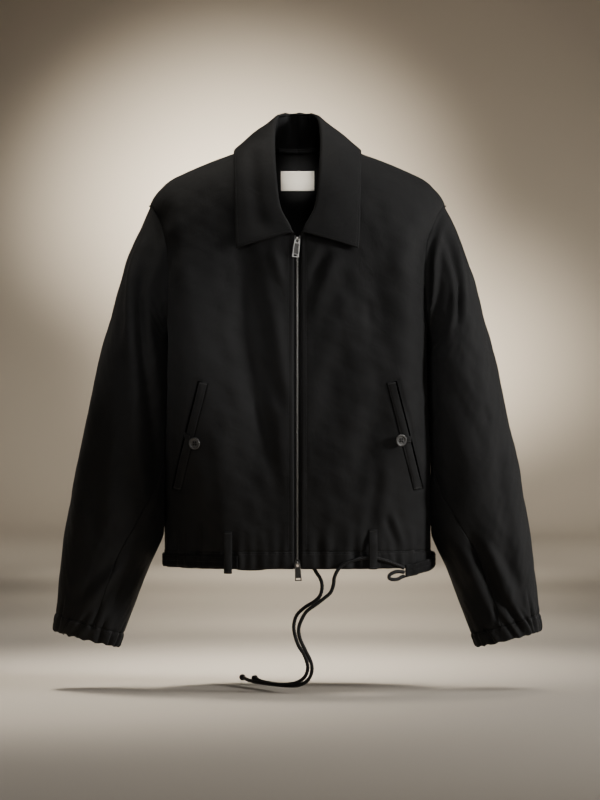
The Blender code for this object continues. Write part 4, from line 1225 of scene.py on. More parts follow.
def add_front_uv(piece: Object) -> None:
    """A UV map in metres made from the front view, for small pieces.

    Args:
        piece: the piece.
    """
    mesh = piece.data
    layer = mesh.uv_layers.new(name="UVMap")
    places = np.empty(len(mesh.vertices) * 3)
    mesh.vertices.foreach_get("co", places)
    places = places.reshape(-1, 3)
    corners = np.empty(len(mesh.loops), int)
    mesh.loops.foreach_get("vertex_index", corners)
    flat = np.stack([places[corners, 0] + places[corners, 1], places[corners, 2]], axis=-1)
    layer.data.foreach_set("uv", flat.ravel())


# ---------- the studio
GLOW_FROM = (0.0, 2.6, 3.6)
WHITE, CREAM, SAND, AMBER = (1.0, 0.99, 0.98), (1.0, 0.94, 0.84), (1.0, 0.93, 0.81), (1.0, 0.92, 0.79)


def hang(data: bpy.types.Light, place: Point, aim: Point) -> None:
    """Puts a light into the scene.

    Args:
        data: the light.
        place: where it hangs.
        aim: the point that it is turned to.
    """
    light = bpy.data.objects.new(data.name, data)
    light.location = place
    light.rotation_euler = (Vector(aim) - Vector(place)).to_track_quat("-Z", "Y").to_euler()
    bpy.context.scene.collection.objects.link(light)


@dataclass(frozen=True)
class SoftLight:
    """A square area light turned towards the jacket."""

    name: str
    place: Point
    size: float
    power: float
    colour: Point
    spread: float = 180.0
    aim: Point = (0.0, 0.0, -0.36)

    def build(self) -> None:
        """Adds the light to the scene."""
        data = bpy.data.lights.new(self.name, "AREA")
        data.shape, data.size, data.energy, data.color = "SQUARE", self.size, self.power, self.colour
        data.spread = math.radians(self.spread)
        hang(data, self.place, self.aim)


@dataclass(frozen=True)
class SpotLight:
    """A soft-edged spot; its angle is the whole cone in degrees."""

    name: str
    place: Point
    aim: Point
    angle: float
    power: float
    colour: Point
    size: float

    def build(self) -> None:
        """Adds the spot to the scene."""
        data = bpy.data.lights.new(self.name, "SPOT")
        data.energy, data.color, data.shadow_soft_size = self.power, self.colour, self.size
        data.spot_size, data.spot_blend = math.radians(self.angle), 1.0
        hang(data, self.place, self.aim)


@dataclass
class Studio:
    """The camera, a pale floor that curves up into a far wall all round, and soft lights."""

    lens: float = 150.0
    distance: float = 5.0
    aim_x: float = 0.00375
    aim_z: float = -0.375
    floor_radius: float = 9.0
    cove_radius: float = 3.0
    wall_height: float = 5.0
    ambient: float = 0.078
    tone: Point = (0.52, 0.462, 0.388)
    lights: tuple[SoftLight, ...] = (
        SoftLight("key", (4.3, -1.4, 0.7), 0.9, 33.0, (1.0, 0.99, 0.975), 70.0),
        SoftLight("fill", (-3.6, -2.4, 0.4), 2.0, 5.0, (0.97, 0.985, 1.0)),
        SoftLight("top", (1.3, -0.3, 2.8), 1.0, 6.0, (1.0, 0.99, 0.97), 70.0),
        SoftLight("side", (2.9, 1.1, 0.1), 1.0, 17.0, (1.0, 0.98, 0.95)),
    )
    spots: tuple[SpotLight, ...] = (
        SpotLight("glow", GLOW_FROM, (0.3, 9.0, -0.9), 46.0, 600.0, (1.0, 0.93, 0.82), 0.3),
        SpotLight("glow_left", GLOW_FROM, (-0.27, 9.0, 0.04), 12.5, 12000.0, AMBER, 0.5),
        SpotLight("glow_right", GLOW_FROM, (0.27, 9.0, -1.18), 14.0, 9300.0, AMBER, 0.5),
        SpotLight("far_floor", (0.2, 2.8, 3.4), (0.5, 5.2, -0.8), 78.0, 440.0, CREAM, 0.3),
        SpotLight("pool_front", (-0.5, 0.5, 3.2), (-0.46, -0.15, -0.8), 22.0, 560.0, CREAM, 0.3),
        SpotLight("pool_back", (0.0, 1.2, 3.2), (-0.02, 0.44, -0.8), 11.5, 2300.0, CREAM, 0.4),
        SpotLight("pool_deep", (0.0, 3.2, 3.2), (0.0, 3.2, -0.8), 15.0, 900.0, SAND, 0.45),
        SpotLight("pool_far", (0.0, 1.9, 3.2), (0.02, 1.4, -0.8), 15.0, 800.0, SAND, 0.4),
        SpotLight("pool_next", (0.0, 2.5, 3.2), (0.02, 2.26, -0.8), 20.0, 620.0, SAND, 0.4),
        SpotLight("chest", (-1.6, -4.4, 0.9), (-0.135, -0.1, -0.285), 4.0, 720.0, WHITE, 0.12),
        SpotLight("sleeve", (-2.2, -4.3, 0.6), (0.26, -0.04, -0.35), 4.6, 330.0, WHITE, 0.12),
        SpotLight("front", (0.5, -4.6, 1.3), (0.02, -0.05, -0.36), 19.0, 125.0, WHITE, 0.25),
        SpotLight("neck", (0.0, -3.4, 0.75), (0.0, 0.1, -0.04), 1.1, 900.0, (1.0, 0.98, 0.94), 0.01),
    )

    def build(self) -> None:
        """Adds the camera, the floor, the world and the lights."""
        data = bpy.data.cameras.new("camera")
        data.lens, data.clip_end = self.lens, 60.0
        camera = bpy.data.objects.new("camera", data)
        camera.location = (self.aim_x, -self.distance, self.aim_z)
        camera.rotation_euler = (math.pi / 2, 0.0, 0.0)
        bpy.context.scene.collection.objects.link(camera)
        bpy.context.scene.camera = camera
        self.floor()
        world = bpy.data.worlds.new("world")
        world.use_nodes = True
        world.node_tree.nodes["Background"].inputs["Color"].default_value = (*self.tone, 1.0)
        world.node_tree.nodes["Background"].inputs["Strength"].default_value = self.ambient
        bpy.context.scene.world = world
        for light in self.lights:
            light.build()
        for spot in self.spots:
            spot.build()

    def floor(self) -> None:
        """Adds the floor and its wall as one smooth bowl."""
        flat = self.floor_radius - self.cove_radius
        outline = [(0.0, 0.0), (flat, 0.0)]
        for step in range(1, 13):
            angle = step / 12 * math.pi / 2
            outline.append((flat + self.cove_radius * math.sin(angle), self.cove_radius * (1 - math.cos(angle))))
        outline.append((self.floor_radius, self.wall_height))
        builder = bmesh.new()
        turn_round(builder, [(x, FLOOR_Z + z) for x, z in outline], 72)
        bmesh.ops.remove_doubles(builder, verts=builder.verts, dist=1e-5)
        bowl = add_piece("floor", builder, 60.0)
        material = bpy.data.materials.new("floor")
        material.use_nodes = True
        shader = material.node_tree.nodes["Principled BSDF"]
        shader.inputs["Base Color"].default_value = (*self.tone, 1.0)
        shader.inputs["Roughness"].default_value = 0.95
        shader.inputs["Specular IOR Level"].default_value = 0.1
        bowl.data.materials.append(material)


# ---------- the drawcord
# the places that each stretch of the cord passes through
LONG_CORD = (
    (0.1568, -0.094, -0.6222), (0.149, -0.0968, -0.6185), (0.1385, -0.1012, -0.614), (0.1255, -0.1064, -0.6098),
    (0.1115, -0.1108, -0.6067), (0.097, -0.1144, -0.6067), (0.0845, -0.1166, -0.6092), (0.0722, -0.1186, -0.6135),
    (0.063, -0.1199, -0.619), (0.0576, -0.1207, -0.6265), (0.054, -0.1208, -0.6355), (0.0525, -0.1205, -0.6462),
    (0.0482, -0.12, -0.657), (0.038, -0.1195, -0.6662), (0.0256, -0.119, -0.6755), (0.0133, -0.1185, -0.6848),
    (0.0059, -0.118, -0.6972), (0.0018, -0.1175, -0.7105), (0.0038, -0.1168, -0.7245), (0.0112, -0.116, -0.7412),
    (0.0186, -0.115, -0.756), (0.0214, -0.113, -0.768), (0.019, -0.11, -0.78), (0.0115, -0.105, -0.7895),
    (-0.001, -0.0955, -0.7952), (-0.018, -0.078, -0.7968), (-0.037, -0.052, -0.797), (-0.056, -0.022, -0.797),
    (-0.071, 0.008, -0.7966), (-0.081, 0.033, -0.7945))
SHORT_CORD = (
    (0.019, -0.1122, -0.601), (0.0196, -0.11, -0.607), (0.0208, -0.1086, -0.614), (0.024, -0.1082, -0.6215),
    (0.029, -0.1085, -0.63), (0.0335, -0.109, -0.637), (0.0362, -0.1095, -0.648), (0.0335, -0.11, -0.6612),
    (0.0255, -0.1105, -0.67), (0.011, -0.1105, -0.679), (-0.0008, -0.11, -0.6905), (-0.0052, -0.1095, -0.7052),
    (-0.004, -0.1085, -0.7185), (0.0013, -0.1075, -0.735), (0.0093, -0.106, -0.748), (0.0138, -0.104, -0.76),
    (0.0152, -0.101, -0.77), (0.0118, -0.097, -0.7805), (0.004, -0.09, -0.7885), (-0.008, -0.078, -0.794),
    (-0.023, -0.059, -0.7966), (-0.039, -0.033, -0.797), (-0.054, -0.005, -0.7966), (-0.062, 0.015, -0.7945))
CORD_BIGHT = (
    (0.1568, -0.094, -0.6283), (0.152, -0.0968, -0.6275), (0.145, -0.1, -0.6275), (0.138, -0.1035, -0.63),
    (0.1345, -0.1055, -0.6335), (0.1355, -0.1055, -0.6372), (0.141, -0.103, -0.6388), (0.148, -0.0998, -0.638),
    (0.153, -0.0965, -0.6355), (0.157, -0.094, -0.6343))


@dataclass
class Drawcord:
    """The braided cord of the hem: two free ends with stopper knots, and a small bight."""

    radius: float = 0.00275
    sides: int = 32
    step: float = 0.00055
    plaits: int = 4
    braid_pitch: float = 0.0185
    relief: float = 0.00034
    knot_radius: float = 0.0048
    knot_length: float = 0.011
    knot_turns: float = 2.6
    knot_grain: float = 0.0001

    def build(self) -> None:
        """Makes the three stretches and the two knots."""
        self.stretch("cord_bight", CORD_BIGHT)
        for name, route in (("long", LONG_CORD), ("short", SHORT_CORD)):
            line = self.line(route)
            knot = self.knot(f"cord_knot_{name}", line)
            self.stretch(f"cord_{name}", route)

    def line(self, route: Sequence[Point]) -> Array:
        """Evenly spaced points on the smooth curve through a route.

        Args:
            route: the places that it passes through.

        Returns:
            The points.
        """
        fine = catmull_rom(np.array(route), np.linspace(0, len(route) - 1, 4000))
        reach = reach_of(fine)
        return points_at(fine, reach, np.linspace(0, reach[-1], int(reach[-1] / self.step) + 1))

    @staticmethod
    def frames(line: Array) -> tuple[Array, Array]:
        """Two directions square to the line at each point, carried along without twist.

        Args:
            line: the points.

        Returns:
            Both directions at each point.
        """
        along = unit(np.gradient(line, axis=0))
        side = unit(np.cross(along[0], (0.0, 1.0, 0.2)))
        sides = []
        for direction in along:
            side = unit(side - direction * np.dot(side, direction))
            sides.append(side)
        return np.array(sides), np.cross(along, np.array(sides))

    def braid(self, angle: Array, reach: Array) -> Array:
        """Height of the interlaced plaits over the cord's core.

        Args:
            angle: radians round the cord.
            reach: metres along it.

        Returns:
            The height of each place.
        """
        twist = reach / self.braid_pitch
        one = self.plaits * (angle / (2 * math.pi) + twist)
        two = self.plaits * (angle / (2 * math.pi) - twist)
        heights = []
        for own, other, over in ((one, two, 1), (two, one, -1)):
            hump = np.cos(math.pi * (own - np.round(own))) ** 1.3
            pass_over = over * np.cos(math.pi * (np.round(own) + other))
            heights.append(self.relief * (hump + 0.45 * pass_over))
        return np.maximum(*heights)

    def stretch(self, name: str, route: Sequence[Point]) -> None:
        """One stretch of the cord as a braided tube.

        Args:
            name: its name.
            route: the places that it passes through.
        """
        line = self.line(route)
        side, rise = self.frames(line)
        angle = np.linspace(0, 2 * math.pi, self.sides + 1)[None, :]
        reach = (np.arange(len(line)) * self.step)[:, None]
        radius = (self.radius - 1.1 * self.relief + self.braid(angle, reach))[..., None]
        round_ = np.cos(angle)[..., None] * side[:, None] + np.sin(angle)[..., None] * rise[:, None]
        piece = skin(f"{name}_braid", line[:, None] + radius * round_, closed=True, caps=True)
        settle(piece, "cord_braid", [name])
        length = float(np.linalg.norm(np.diff(line, axis=0), axis=1).sum())
        2 * self.radius
        line[self.path_places(len(line))].tolist()

    @staticmethod
    def path_places(count: int) -> Array:
        """Every fourth or so of count places, the last one too."""
        return np.linspace(0, count - 1, count // 4).round().astype(int)

    def knot(self, name: str, line: Array) -> Object:
        """The stopper knot: three turns of the cord wound tight round its end.

        Args:
            name: its name.
            line: the cord's points.

        Returns:
            The knot.
        """
        along = unit(line[-1] - line[-3])
        side = unit(np.cross(along, (0.0, 0.0, 1.0)))
        rise = np.cross(side, along)
        angle = np.linspace(0, 2 * math.pi, 41)[None, :]
        share = np.linspace(0.0, 1.0, 61)[:, None]
        barrel = 0.2 + 0.8 * np.sin(math.pi * np.clip(share * 0.94 + 0.03, 0, 1)) ** 0.42
        turns = np.abs(np.sin(math.pi * (self.knot_turns * share + angle / (2 * math.pi)))) ** 0.7
        radius = self.knot_radius * barrel * (0.8 + 0.2 * turns)
        radius = radius + self.knot_grain * np.sin(34 * angle + 60 * share) * barrel
        round_ = np.cos(angle)[..., None] * side + np.sin(angle)[..., None] * rise
        points = line[-1] + along * 0.0002 + share[..., None] * along * self.knot_length + radius[..., None] * round_
        return settle(skin(f"{name}_turns", points, closed=True, caps=True), "cord_braid", [name])


# ---------- the body
@dataclass(frozen=True)
class Cut:
    """The flat size of a cloth piece before it is sewn, and its area."""

    width: float
    length: float
    area: float


def lay_out(cut: Cut, rests_on: Sequence[str],
            with_pieces: Sequence[Object] = ()) -> None:
    """Reads the sizes of a cloth piece's flat cut and keeps nothing."""
    cut.width
    cut.length
    cut.area


@dataclass
class BodyPanels:
    """The two fronts and the back, from the casing seam to the neck, the shoulders and the armholes."""

    front_columns: int = 86
    front_rows: int = 226
    back_columns: int = 150
    back_rows: int = 184
    zip_stitch: float = 0.0078
    front_cut: Cut = Cut(0.262, 0.615, 0.146)
    back_cut: Cut = Cut(0.56, 0.655, 0.305)

    def build(self) -> None:
        """Makes the three panels and the stitches beside the zip."""
        for name, side in SIDES.items():
            self.front(name, side)
        self.back()

    def front(self, name: str, side: int) -> None:
        """One front, turned in at the zip and stitched down beside it.

        Args:
            name: "left" or "right".
            side: +1 left or -1 right.
        """
        def place(across: Array, up: Array) -> Array:
            """Points of the front."""
            turn, height = FORM.panel(Face.FRONT, across, up)
            return FORM.place(side, turn, height) - (0.0, HALF_SEAM, 0.0)
        rolls = (Roll(Edge.START, **TURNED), Roll(Edge.START, 0.0006, 0.0011, 0.00016, self.zip_stitch),
                 *rolled((Edge.END, Edge.BOTTOM), **SOFT_SEAM), Roll(Edge.TOP, **SEAM_EDGE))
        piece = cloth(f"front_{name}_cloth", self.front_columns, self.front_rows, place, rolls=rolls, flip=side < 0)
        settle(piece, "shell_cloth", [f"front_{name}"])
        stitches = Stitching(f"front_{name}_stitches")
        z = np.linspace(-0.594, -0.15, 400)
        stitches.row(FORM.on_face(side, Face.FRONT, np.full_like(z, FRONT_EDGE + self.zip_stitch), z, -0.00005))
        lay_out(self.front_cut, ["back_cloth"], [stitches.finish()])

    def back(self) -> None:
        """The back, in one piece."""
        def place(across: Array, up: Array) -> Array:
            """Points of the back.

            Args:
                across: 0 to 1 across it.
                up: 0 to 1 up it.

            Returns:
                Points.
            """
            side = np.where(across < 0.5, LEFT, RIGHT)
            turn, height = FORM.panel(Face.BACK, np.abs(2 * across - 1), up)
            return FORM.place(side, turn, height) + (0.0, HALF_SEAM, 0.0)
        rolls = rolled(Edge, **SEAM_EDGE)
        piece = cloth("back_cloth", self.back_columns, self.back_rows, place, rolls=rolls)
        settle(piece, "shell_cloth", ["back"])
        lay_out(self.back_cut, ["collar_stand_cloth"])


@dataclass
class HemCasing:
    """The casing round the hem that the cord runs in, gathered most at the wearer's left and the back."""

    columns: int = 170
    back_columns: int = 330
    rows: int = 24
    puff: float = 0.001
    pitch: float = 0.0135
    front_height: float = 0.00022
    left_height: float = 0.0013
    right_height: float = 0.0006
    middle_height: float = 0.0003
    back_height: float = 0.00115
    stitch_in: float = 0.0034
    belly: Point = (0.0021, -0.068, 0.019)
    front_cut: Cut = Cut(0.245, 0.03, 0.0073)
    back_cut: Cut = Cut(0.505, 0.03, 0.0151)

    def __post_init__(self) -> None:
        """Draws how uneven the gathers are."""
        self.wander = Ripple("casing", 0.05, 0.12, 0.0, 8)
        self.sizes = Ripple("casing sizes", 0.03, 0.09, 0.0, 8)

    def gathers(self, signed: Array, up: Array, face: Face) -> Array:
        """Height of the gathers.

        Args:
            signed: place across, positive on the wearer's left.
            up: 0 at the hem, 1 at the seam.
            face: front or back.

        Returns:
            The height of each place.
        """
        phase = signed / self.pitch + 0.42 * self.wander(signed, 0 * signed) + 0.1 * up
        folds = 1.25 * np.abs(np.sin(math.pi * phase)) ** 0.75 - 0.75
        if face is Face.FRONT:
            amount = self.front_height + self.left_height * fade(signed, 0.085, 0.125)
            amount = amount + self.right_height * fade(-signed, 0.1, 0.13)
            amount = amount + self.middle_height * fade(signed, 0.01, 0.03) * fade(-signed, -0.08, -0.05)
        else:
            amount = self.back_height
        return amount * folds * (0.75 + 0.5 * self.sizes(signed, 0 * signed)) * (0.55 + 0.45 * (1 - up))

    @staticmethod
    def pressed(side: Array | int, turn: Array, height: Array) -> Array:
        """How far the belt presses each place flat.

        Args:
            side: +1 left or -1 right.
            turn: degrees from the centre front.
            height: height coordinate.

        Returns:
            0 clear of the belt to 1 under it.
        """
        bearing = np.where(np.asarray(side) < 0, turn, 360 - turn)
        away = np.abs(height - BELT_LINES.middle(bearing)) - BELT_WIDTH / 2
        under = fade(bearing, BELT_START - 2, BELT_START) * (1 - fade(bearing, *BELT_LEAVES))
        return under * (1 - fade(away, 0.0002, 0.003))

    def surface(self, side: Array | int, face: Face, across: Array, up: Array) -> Array:
        """Points of the casing on one face.

        Args:
            side: +1 left or -1 right.
            face: front or back.
            across: 0 to 1 across it.
            up: 0 to 1 up it.

        Returns:
            Points.
        """
        top = CASING_TOP + 4 * HALF_SEAM
        turn, height = FORM.lower(face, across, HEM + (top - HEM) * up)
        turn = np.broadcast_to(turn, up.shape)
        signed = FORM.form(side, turn, height)[..., 0]
        seam_end = fade(np.abs(turn - 90), 0.0, 5.0)
        out = self.puff * np.sin(math.pi * np.clip(up, 0, 1)) ** 0.7
        held = np.sin(math.pi * np.clip(0.06 + 0.9 * up, 0, 1)) ** 0.5 * seam_end
        out = out + self.gathers(signed, up, face) * held
        out = out * (1 - 0.82 * self.pressed(side, turn, height))
        points = FORM.place(side, turn, height, out)
        if face is Face.FRONT:
            depth, middle, width = self.belly
            drop = depth * np.exp(-(((signed - middle) / width) ** 4)) * (1 - up)
            points = points - stack(0.0, 0.0, drop)
        return points

    def build(self) -> None:
        """Makes the three casings and their stitches."""
        rolls = (Roll(Edge.BOTTOM, 0.0011, 0.0016), Roll(Edge.TOP, 0.0005, 0.0013, 0.0003),
                 Roll(Edge.TOP, 0.00035, 0.0009, 0.0002, self.stitch_in))
        for name, side in SIDES.items():
            def place(across: Array, up: Array, side: int = side) -> Array:
                """Points of one front casing."""
                return self.surface(side, Face.FRONT, across, up) - (0.0, HALF_SEAM, 0.0)
            edges = rolls + (Roll(Edge.START, **TURNED),)
            piece = cloth(f"hem_casing_{name}_cloth", self.columns, self.rows, place, CASING_WALL, edges,
                          flip=side < 0)
            settle(piece, "shell_cloth", [f"hem_casing_{name}"])
            lay_out(self.front_cut, [f"front_{name}_cloth"], [self.stitches(name, side)])

        def back(across: Array, up: Array) -> Array:
            """Points of the back casing."""
            side = np.where(across < 0.5, LEFT, RIGHT)
            return self.surface(side, Face.BACK, np.abs(2 * across - 1), up) + (0.0, HALF_SEAM, 0.0)
        piece = cloth("hem_casing_back_cloth", self.back_columns, self.rows, back, CASING_WALL, rolls)
        settle(piece, "shell_cloth", ["hem_casing_back"])
        lay_out(self.back_cut, ["back_cloth"])

    def stitches(self, name: str, side: int) -> Object:
        """The row of stitches under the casing seam of one front.

        Args:
            name: "left" or "right".
            side: +1 left or -1 right.

        Returns:
            The stitches.
        """
        across = np.linspace(0.02, 0.98, 300)[None, :]
        row = self.surface(side, Face.FRONT, across, np.full_like(across, 1 - self.stitch_in / (CASING_TOP - HEM)))[0]
        stitches = Stitching(f"hem_casing_{name}_stitches")
        stitches.row(row)
        return stitches.finish()


# ---------- sleeves and cuffs
class SleeveRing(NamedTuple):
    """One section of a sleeve."""

    outer_x: float
    outer_z: float
    inner_x: float
    inner_z: float
    half_depth: float
    mid_y: float


class Pleat(NamedTuple):
    """A sharp fold that the elastic pulls in.

    round is its place in degrees at the casing seam, lean its turn per metre upwards, low and high
    its ends above the cuff's lower edge.
    """

    round: float
    lean: float
    low: float
    high: float
    depth: float
    width: float


SLEEVE_RINGS = (
    SleeveRing(0.251, -0.1545, 0.192, -0.302, 0.078, 0.0),
    SleeveRing(0.273, -0.2265, 0.1912, -0.33, 0.083, -0.002),
    SleeveRing(0.297, -0.318, 0.1916, -0.378, 0.08, -0.006),
    SleeveRing(0.3195, -0.4215, 0.1938, -0.456, 0.072, -0.01),
    SleeveRing(0.337, -0.507, 0.195, -0.556, 0.062, -0.015),
    SleeveRing(0.351, -0.6, 0.2235, -0.63, 0.05, -0.02),
    SleeveRing(0.361, -0.693, 0.2595, -0.723, 0.038, -0.024))
CUFF_RING = SleeveRing(0.3635, -0.72, 0.2665, -0.744, 0.03, -0.025)
SLEEVE_SEAMS = Table(
    "down front back", (0, 157.5, 157.5), (1, 158, 156), (2, 162, 154), (3, 165, 152), (4, 160, 148),
    (5, 118, 142), (6, 103, 134), (7, 98, 128))
SLEEVE_POWER = 2 / 2.15
CUFF_SEAM = len(SLEEVE_RINGS)     # where the cuff's seam lies, counted in rings from the armhole
DEGREE = 0.00115         # metres a degree on the sleeve's flat map
CUFF_DEGREE = 0.00071    # metres a degree round the cuff's seam
LEAST_DEGREE = 0.00066
DEGREE_GROWTH = 0.004    # how much a degree grows, a metre up from that seam
STATION = 0.092          # metres a ring on it
CUFF_HEIGHT = 0.027

PLEATS = {
    LEFT: (
        Pleat(42, 80, 0.001, 0.072, 0.0022, 0.0024), Pleat(58, 520, -0.01, 0.055, 0.0021, 0.0018),
        Pleat(75, 356, 0.006, 0.088, 0.0042, 0.0036), Pleat(91, 368, -0.01, 0.052, 0.003, 0.0022),
        Pleat(103, -40, 0.036, 0.068, 0.0018, 0.0022), Pleat(128, 480, -0.01, 0.056, 0.0034, 0.0024),
        Pleat(152, 260, 0.0, 0.044, 0.0018, 0.0018), Pleat(172, 200, -0.01, 0.06, 0.0024, 0.0022),
        Pleat(18, 300, -0.01, 0.048, 0.0022, 0.002), Pleat(-6, -200, -0.01, 0.06, 0.0024, 0.0022),
        Pleat(-34, -300, -0.01, 0.074, 0.0032, 0.0028), Pleat(-52, -420, 0.002, 0.05, 0.002, 0.002),
        Pleat(-77, -350, -0.01, 0.086, 0.0036, 0.003), Pleat(-101, -300, -0.01, 0.05, 0.0024, 0.0022),
        Pleat(-118, -380, 0.004, 0.066, 0.0028, 0.0024), Pleat(-146, -260, -0.01, 0.058, 0.0026, 0.0022)),
    RIGHT: (
        Pleat(36, 160, 0.0, 0.066, 0.0022, 0.0024), Pleat(57, 560, -0.01, 0.05, 0.0024, 0.0019),
        Pleat(81, 420, -0.01, 0.06, 0.003, 0.0028), Pleat(96, 120, 0.022, 0.07, 0.002, 0.0026),
        Pleat(113, 60, -0.01, 0.058, 0.0036, 0.003), Pleat(134, 40, -0.01, 0.036, 0.0026, 0.002),
        Pleat(156, 240, 0.0, 0.054, 0.002, 0.002), Pleat(175, 200, -0.01, 0.046, 0.0022, 0.002),
        Pleat(14, 260, -0.01, 0.052, 0.0022, 0.0022), Pleat(-12, -160, -0.01, 0.05, 0.0022, 0.002),
        Pleat(-30, -280, -0.01, 0.08, 0.0034, 0.0028), Pleat(-56, -400, -0.01, 0.054, 0.0024, 0.0021),
        Pleat(-72, -300, 0.002, 0.07, 0.0028, 0.0026), Pleat(-98, -340, -0.01, 0.062, 0.003, 0.0024),
        Pleat(-124, -240, -0.01, 0.078, 0.003, 0.0028), Pleat(-149, -280, 0.002, 0.05, 0.0022, 0.002)),
}

# on the flat map: round times DEGREE across, down times STATION downwards
SLEEVE_CREASES = {
    LEFT: creases(
        (0.0638, -0.0202, 0.1518, -0.057, 0.0, 0.009, 0.006), (0.0483, -0.0386, 0.0954, -0.1739, 0.0, 0.009, -0.0075),
        (0.0219, 0.0, 0.0909, -0.0175, 0.0, 0.008, -0.0045), (0.2127, -0.2889, 0.1627, -0.3156, 0.0, 0.006, -0.003),
        (0.1966, -0.3698, 0.1501, -0.4223, 0.0, 0.005, -0.0022),
        (0.1552, -0.4572, 0.1323, -0.6008, 0.0, 0.016, 0.0045),
        (0.1213, -0.5088, 0.1087, -0.6238, 0.0, 0.008, -0.007),
        (0.1035, -0.5272, 0.0828, -0.6201, 0.0, 0.009, 0.0045),
        (0.0569, -0.3468, 0.0828, -0.598, 0.0, 0.014, -0.003), (0.1162, -0.3367, 0.1052, -0.46, 0.0, 0.014, 0.0024),
        (0.0776, -0.3211, 0.073, -0.3496, 0.0, 0.006, -0.002), (-0.06, -0.06, -0.045, -0.24, 0.006, 0.018, 0.0044),
        (-0.15, -0.27, -0.06, -0.4, 0.008, 0.012, 0.0054), (-0.13, -0.35, -0.05, -0.44, 0.006, 0.009, -0.004),
        (-0.11, -0.44, -0.08, -0.6, 0.004, 0.012, 0.0054), (-0.05, -0.46, -0.064, -0.61, 0.004, 0.01, -0.0044)),
    RIGHT: creases(
        (0.0339, -0.0322, 0.1041, -0.2723, 0.0, 0.012, 0.005), (0.1041, -0.2723, 0.1363, -0.4333, 0.0, 0.012, 0.004),
        (0.0598, -0.0156, 0.1765, -0.414, 0.0, 0.012, -0.006), (0.1668, -0.4398, 0.2087, -0.4996, 0.0, 0.006, 0.003),
        (0.1323, -0.5456, 0.0909, -0.6228, 0.0, 0.008, 0.0055), (0.153, -0.5566, 0.138, -0.6173, 0.0, 0.009, -0.0045),
        (0.035, -0.3, 0.05, -0.52, 0.006, 0.014, 0.0024), (0.072, -0.39, 0.084, -0.52, 0.004, 0.009, -0.0024),
        (-0.05, -0.08, -0.06, -0.26, 0.006, 0.016, 0.0042), (-0.145, -0.29, -0.065, -0.39, 0.006, 0.012, 0.005),
        (-0.1, -0.4, -0.085, -0.56, 0.004, 0.011, -0.0042), (-0.06, -0.43, -0.1, -0.6, 0.004, 0.013, 0.005)),
}


def ring_points(ring: SleeveRing, side: int, round_: Array) -> Array:
    """Points on a sleeve section: 0 outer side, 90 front, 180 inner side, -90 back.

    Args:
        ring: the section.
        side: +1 left or -1 right.
        round_: degrees round the sleeve.

    Returns:
        Points.
    """
    angle = np.radians(round_)
    share = (power_of(np.cos(angle), SLEEVE_POWER) + 1) / 2
    x = ring.inner_x + (ring.outer_x - ring.inner_x) * share
    z = ring.inner_z + (ring.outer_z - ring.inner_z) * share
    return stack(side * x, ring.mid_y - ring.half_depth * power_of(np.sin(angle), SLEEVE_POWER), z)


def pleat_rise(side: int, round_: Array, above: Array) -> Array:
    """Height that the pleats give the cloth.

    Args:
        side: +1 left or -1 right.
        round_: degrees round the sleeve.
        above: metres above the cuff's lower edge.

    Returns:
        The rise of each place.
    """
    degree = np.clip(CUFF_DEGREE + (above - CUFF_HEIGHT) * DEGREE_GROWTH, LEAST_DEGREE, DEGREE)
    total = np.zeros_like(above)
    for pleat in PLEATS[side]:
        centre = pleat.round + pleat.lean * (above - CUFF_HEIGHT)
        away = wrap(round_ - centre) * degree / pleat.width
        along = (above - pleat.low) / (pleat.high - pleat.low)
        window = fade(along, -0.1, 0.14) * (1 - fade(along, 0.42, 1.06))
        shape = 0.34 * np.exp(-(((np.abs(away) - 2.2) / 1.3) ** 2)) - np.exp(-(np.abs(away) ** 1.6))
        total = total + 1.25 * pleat.depth * window * shape
    return total


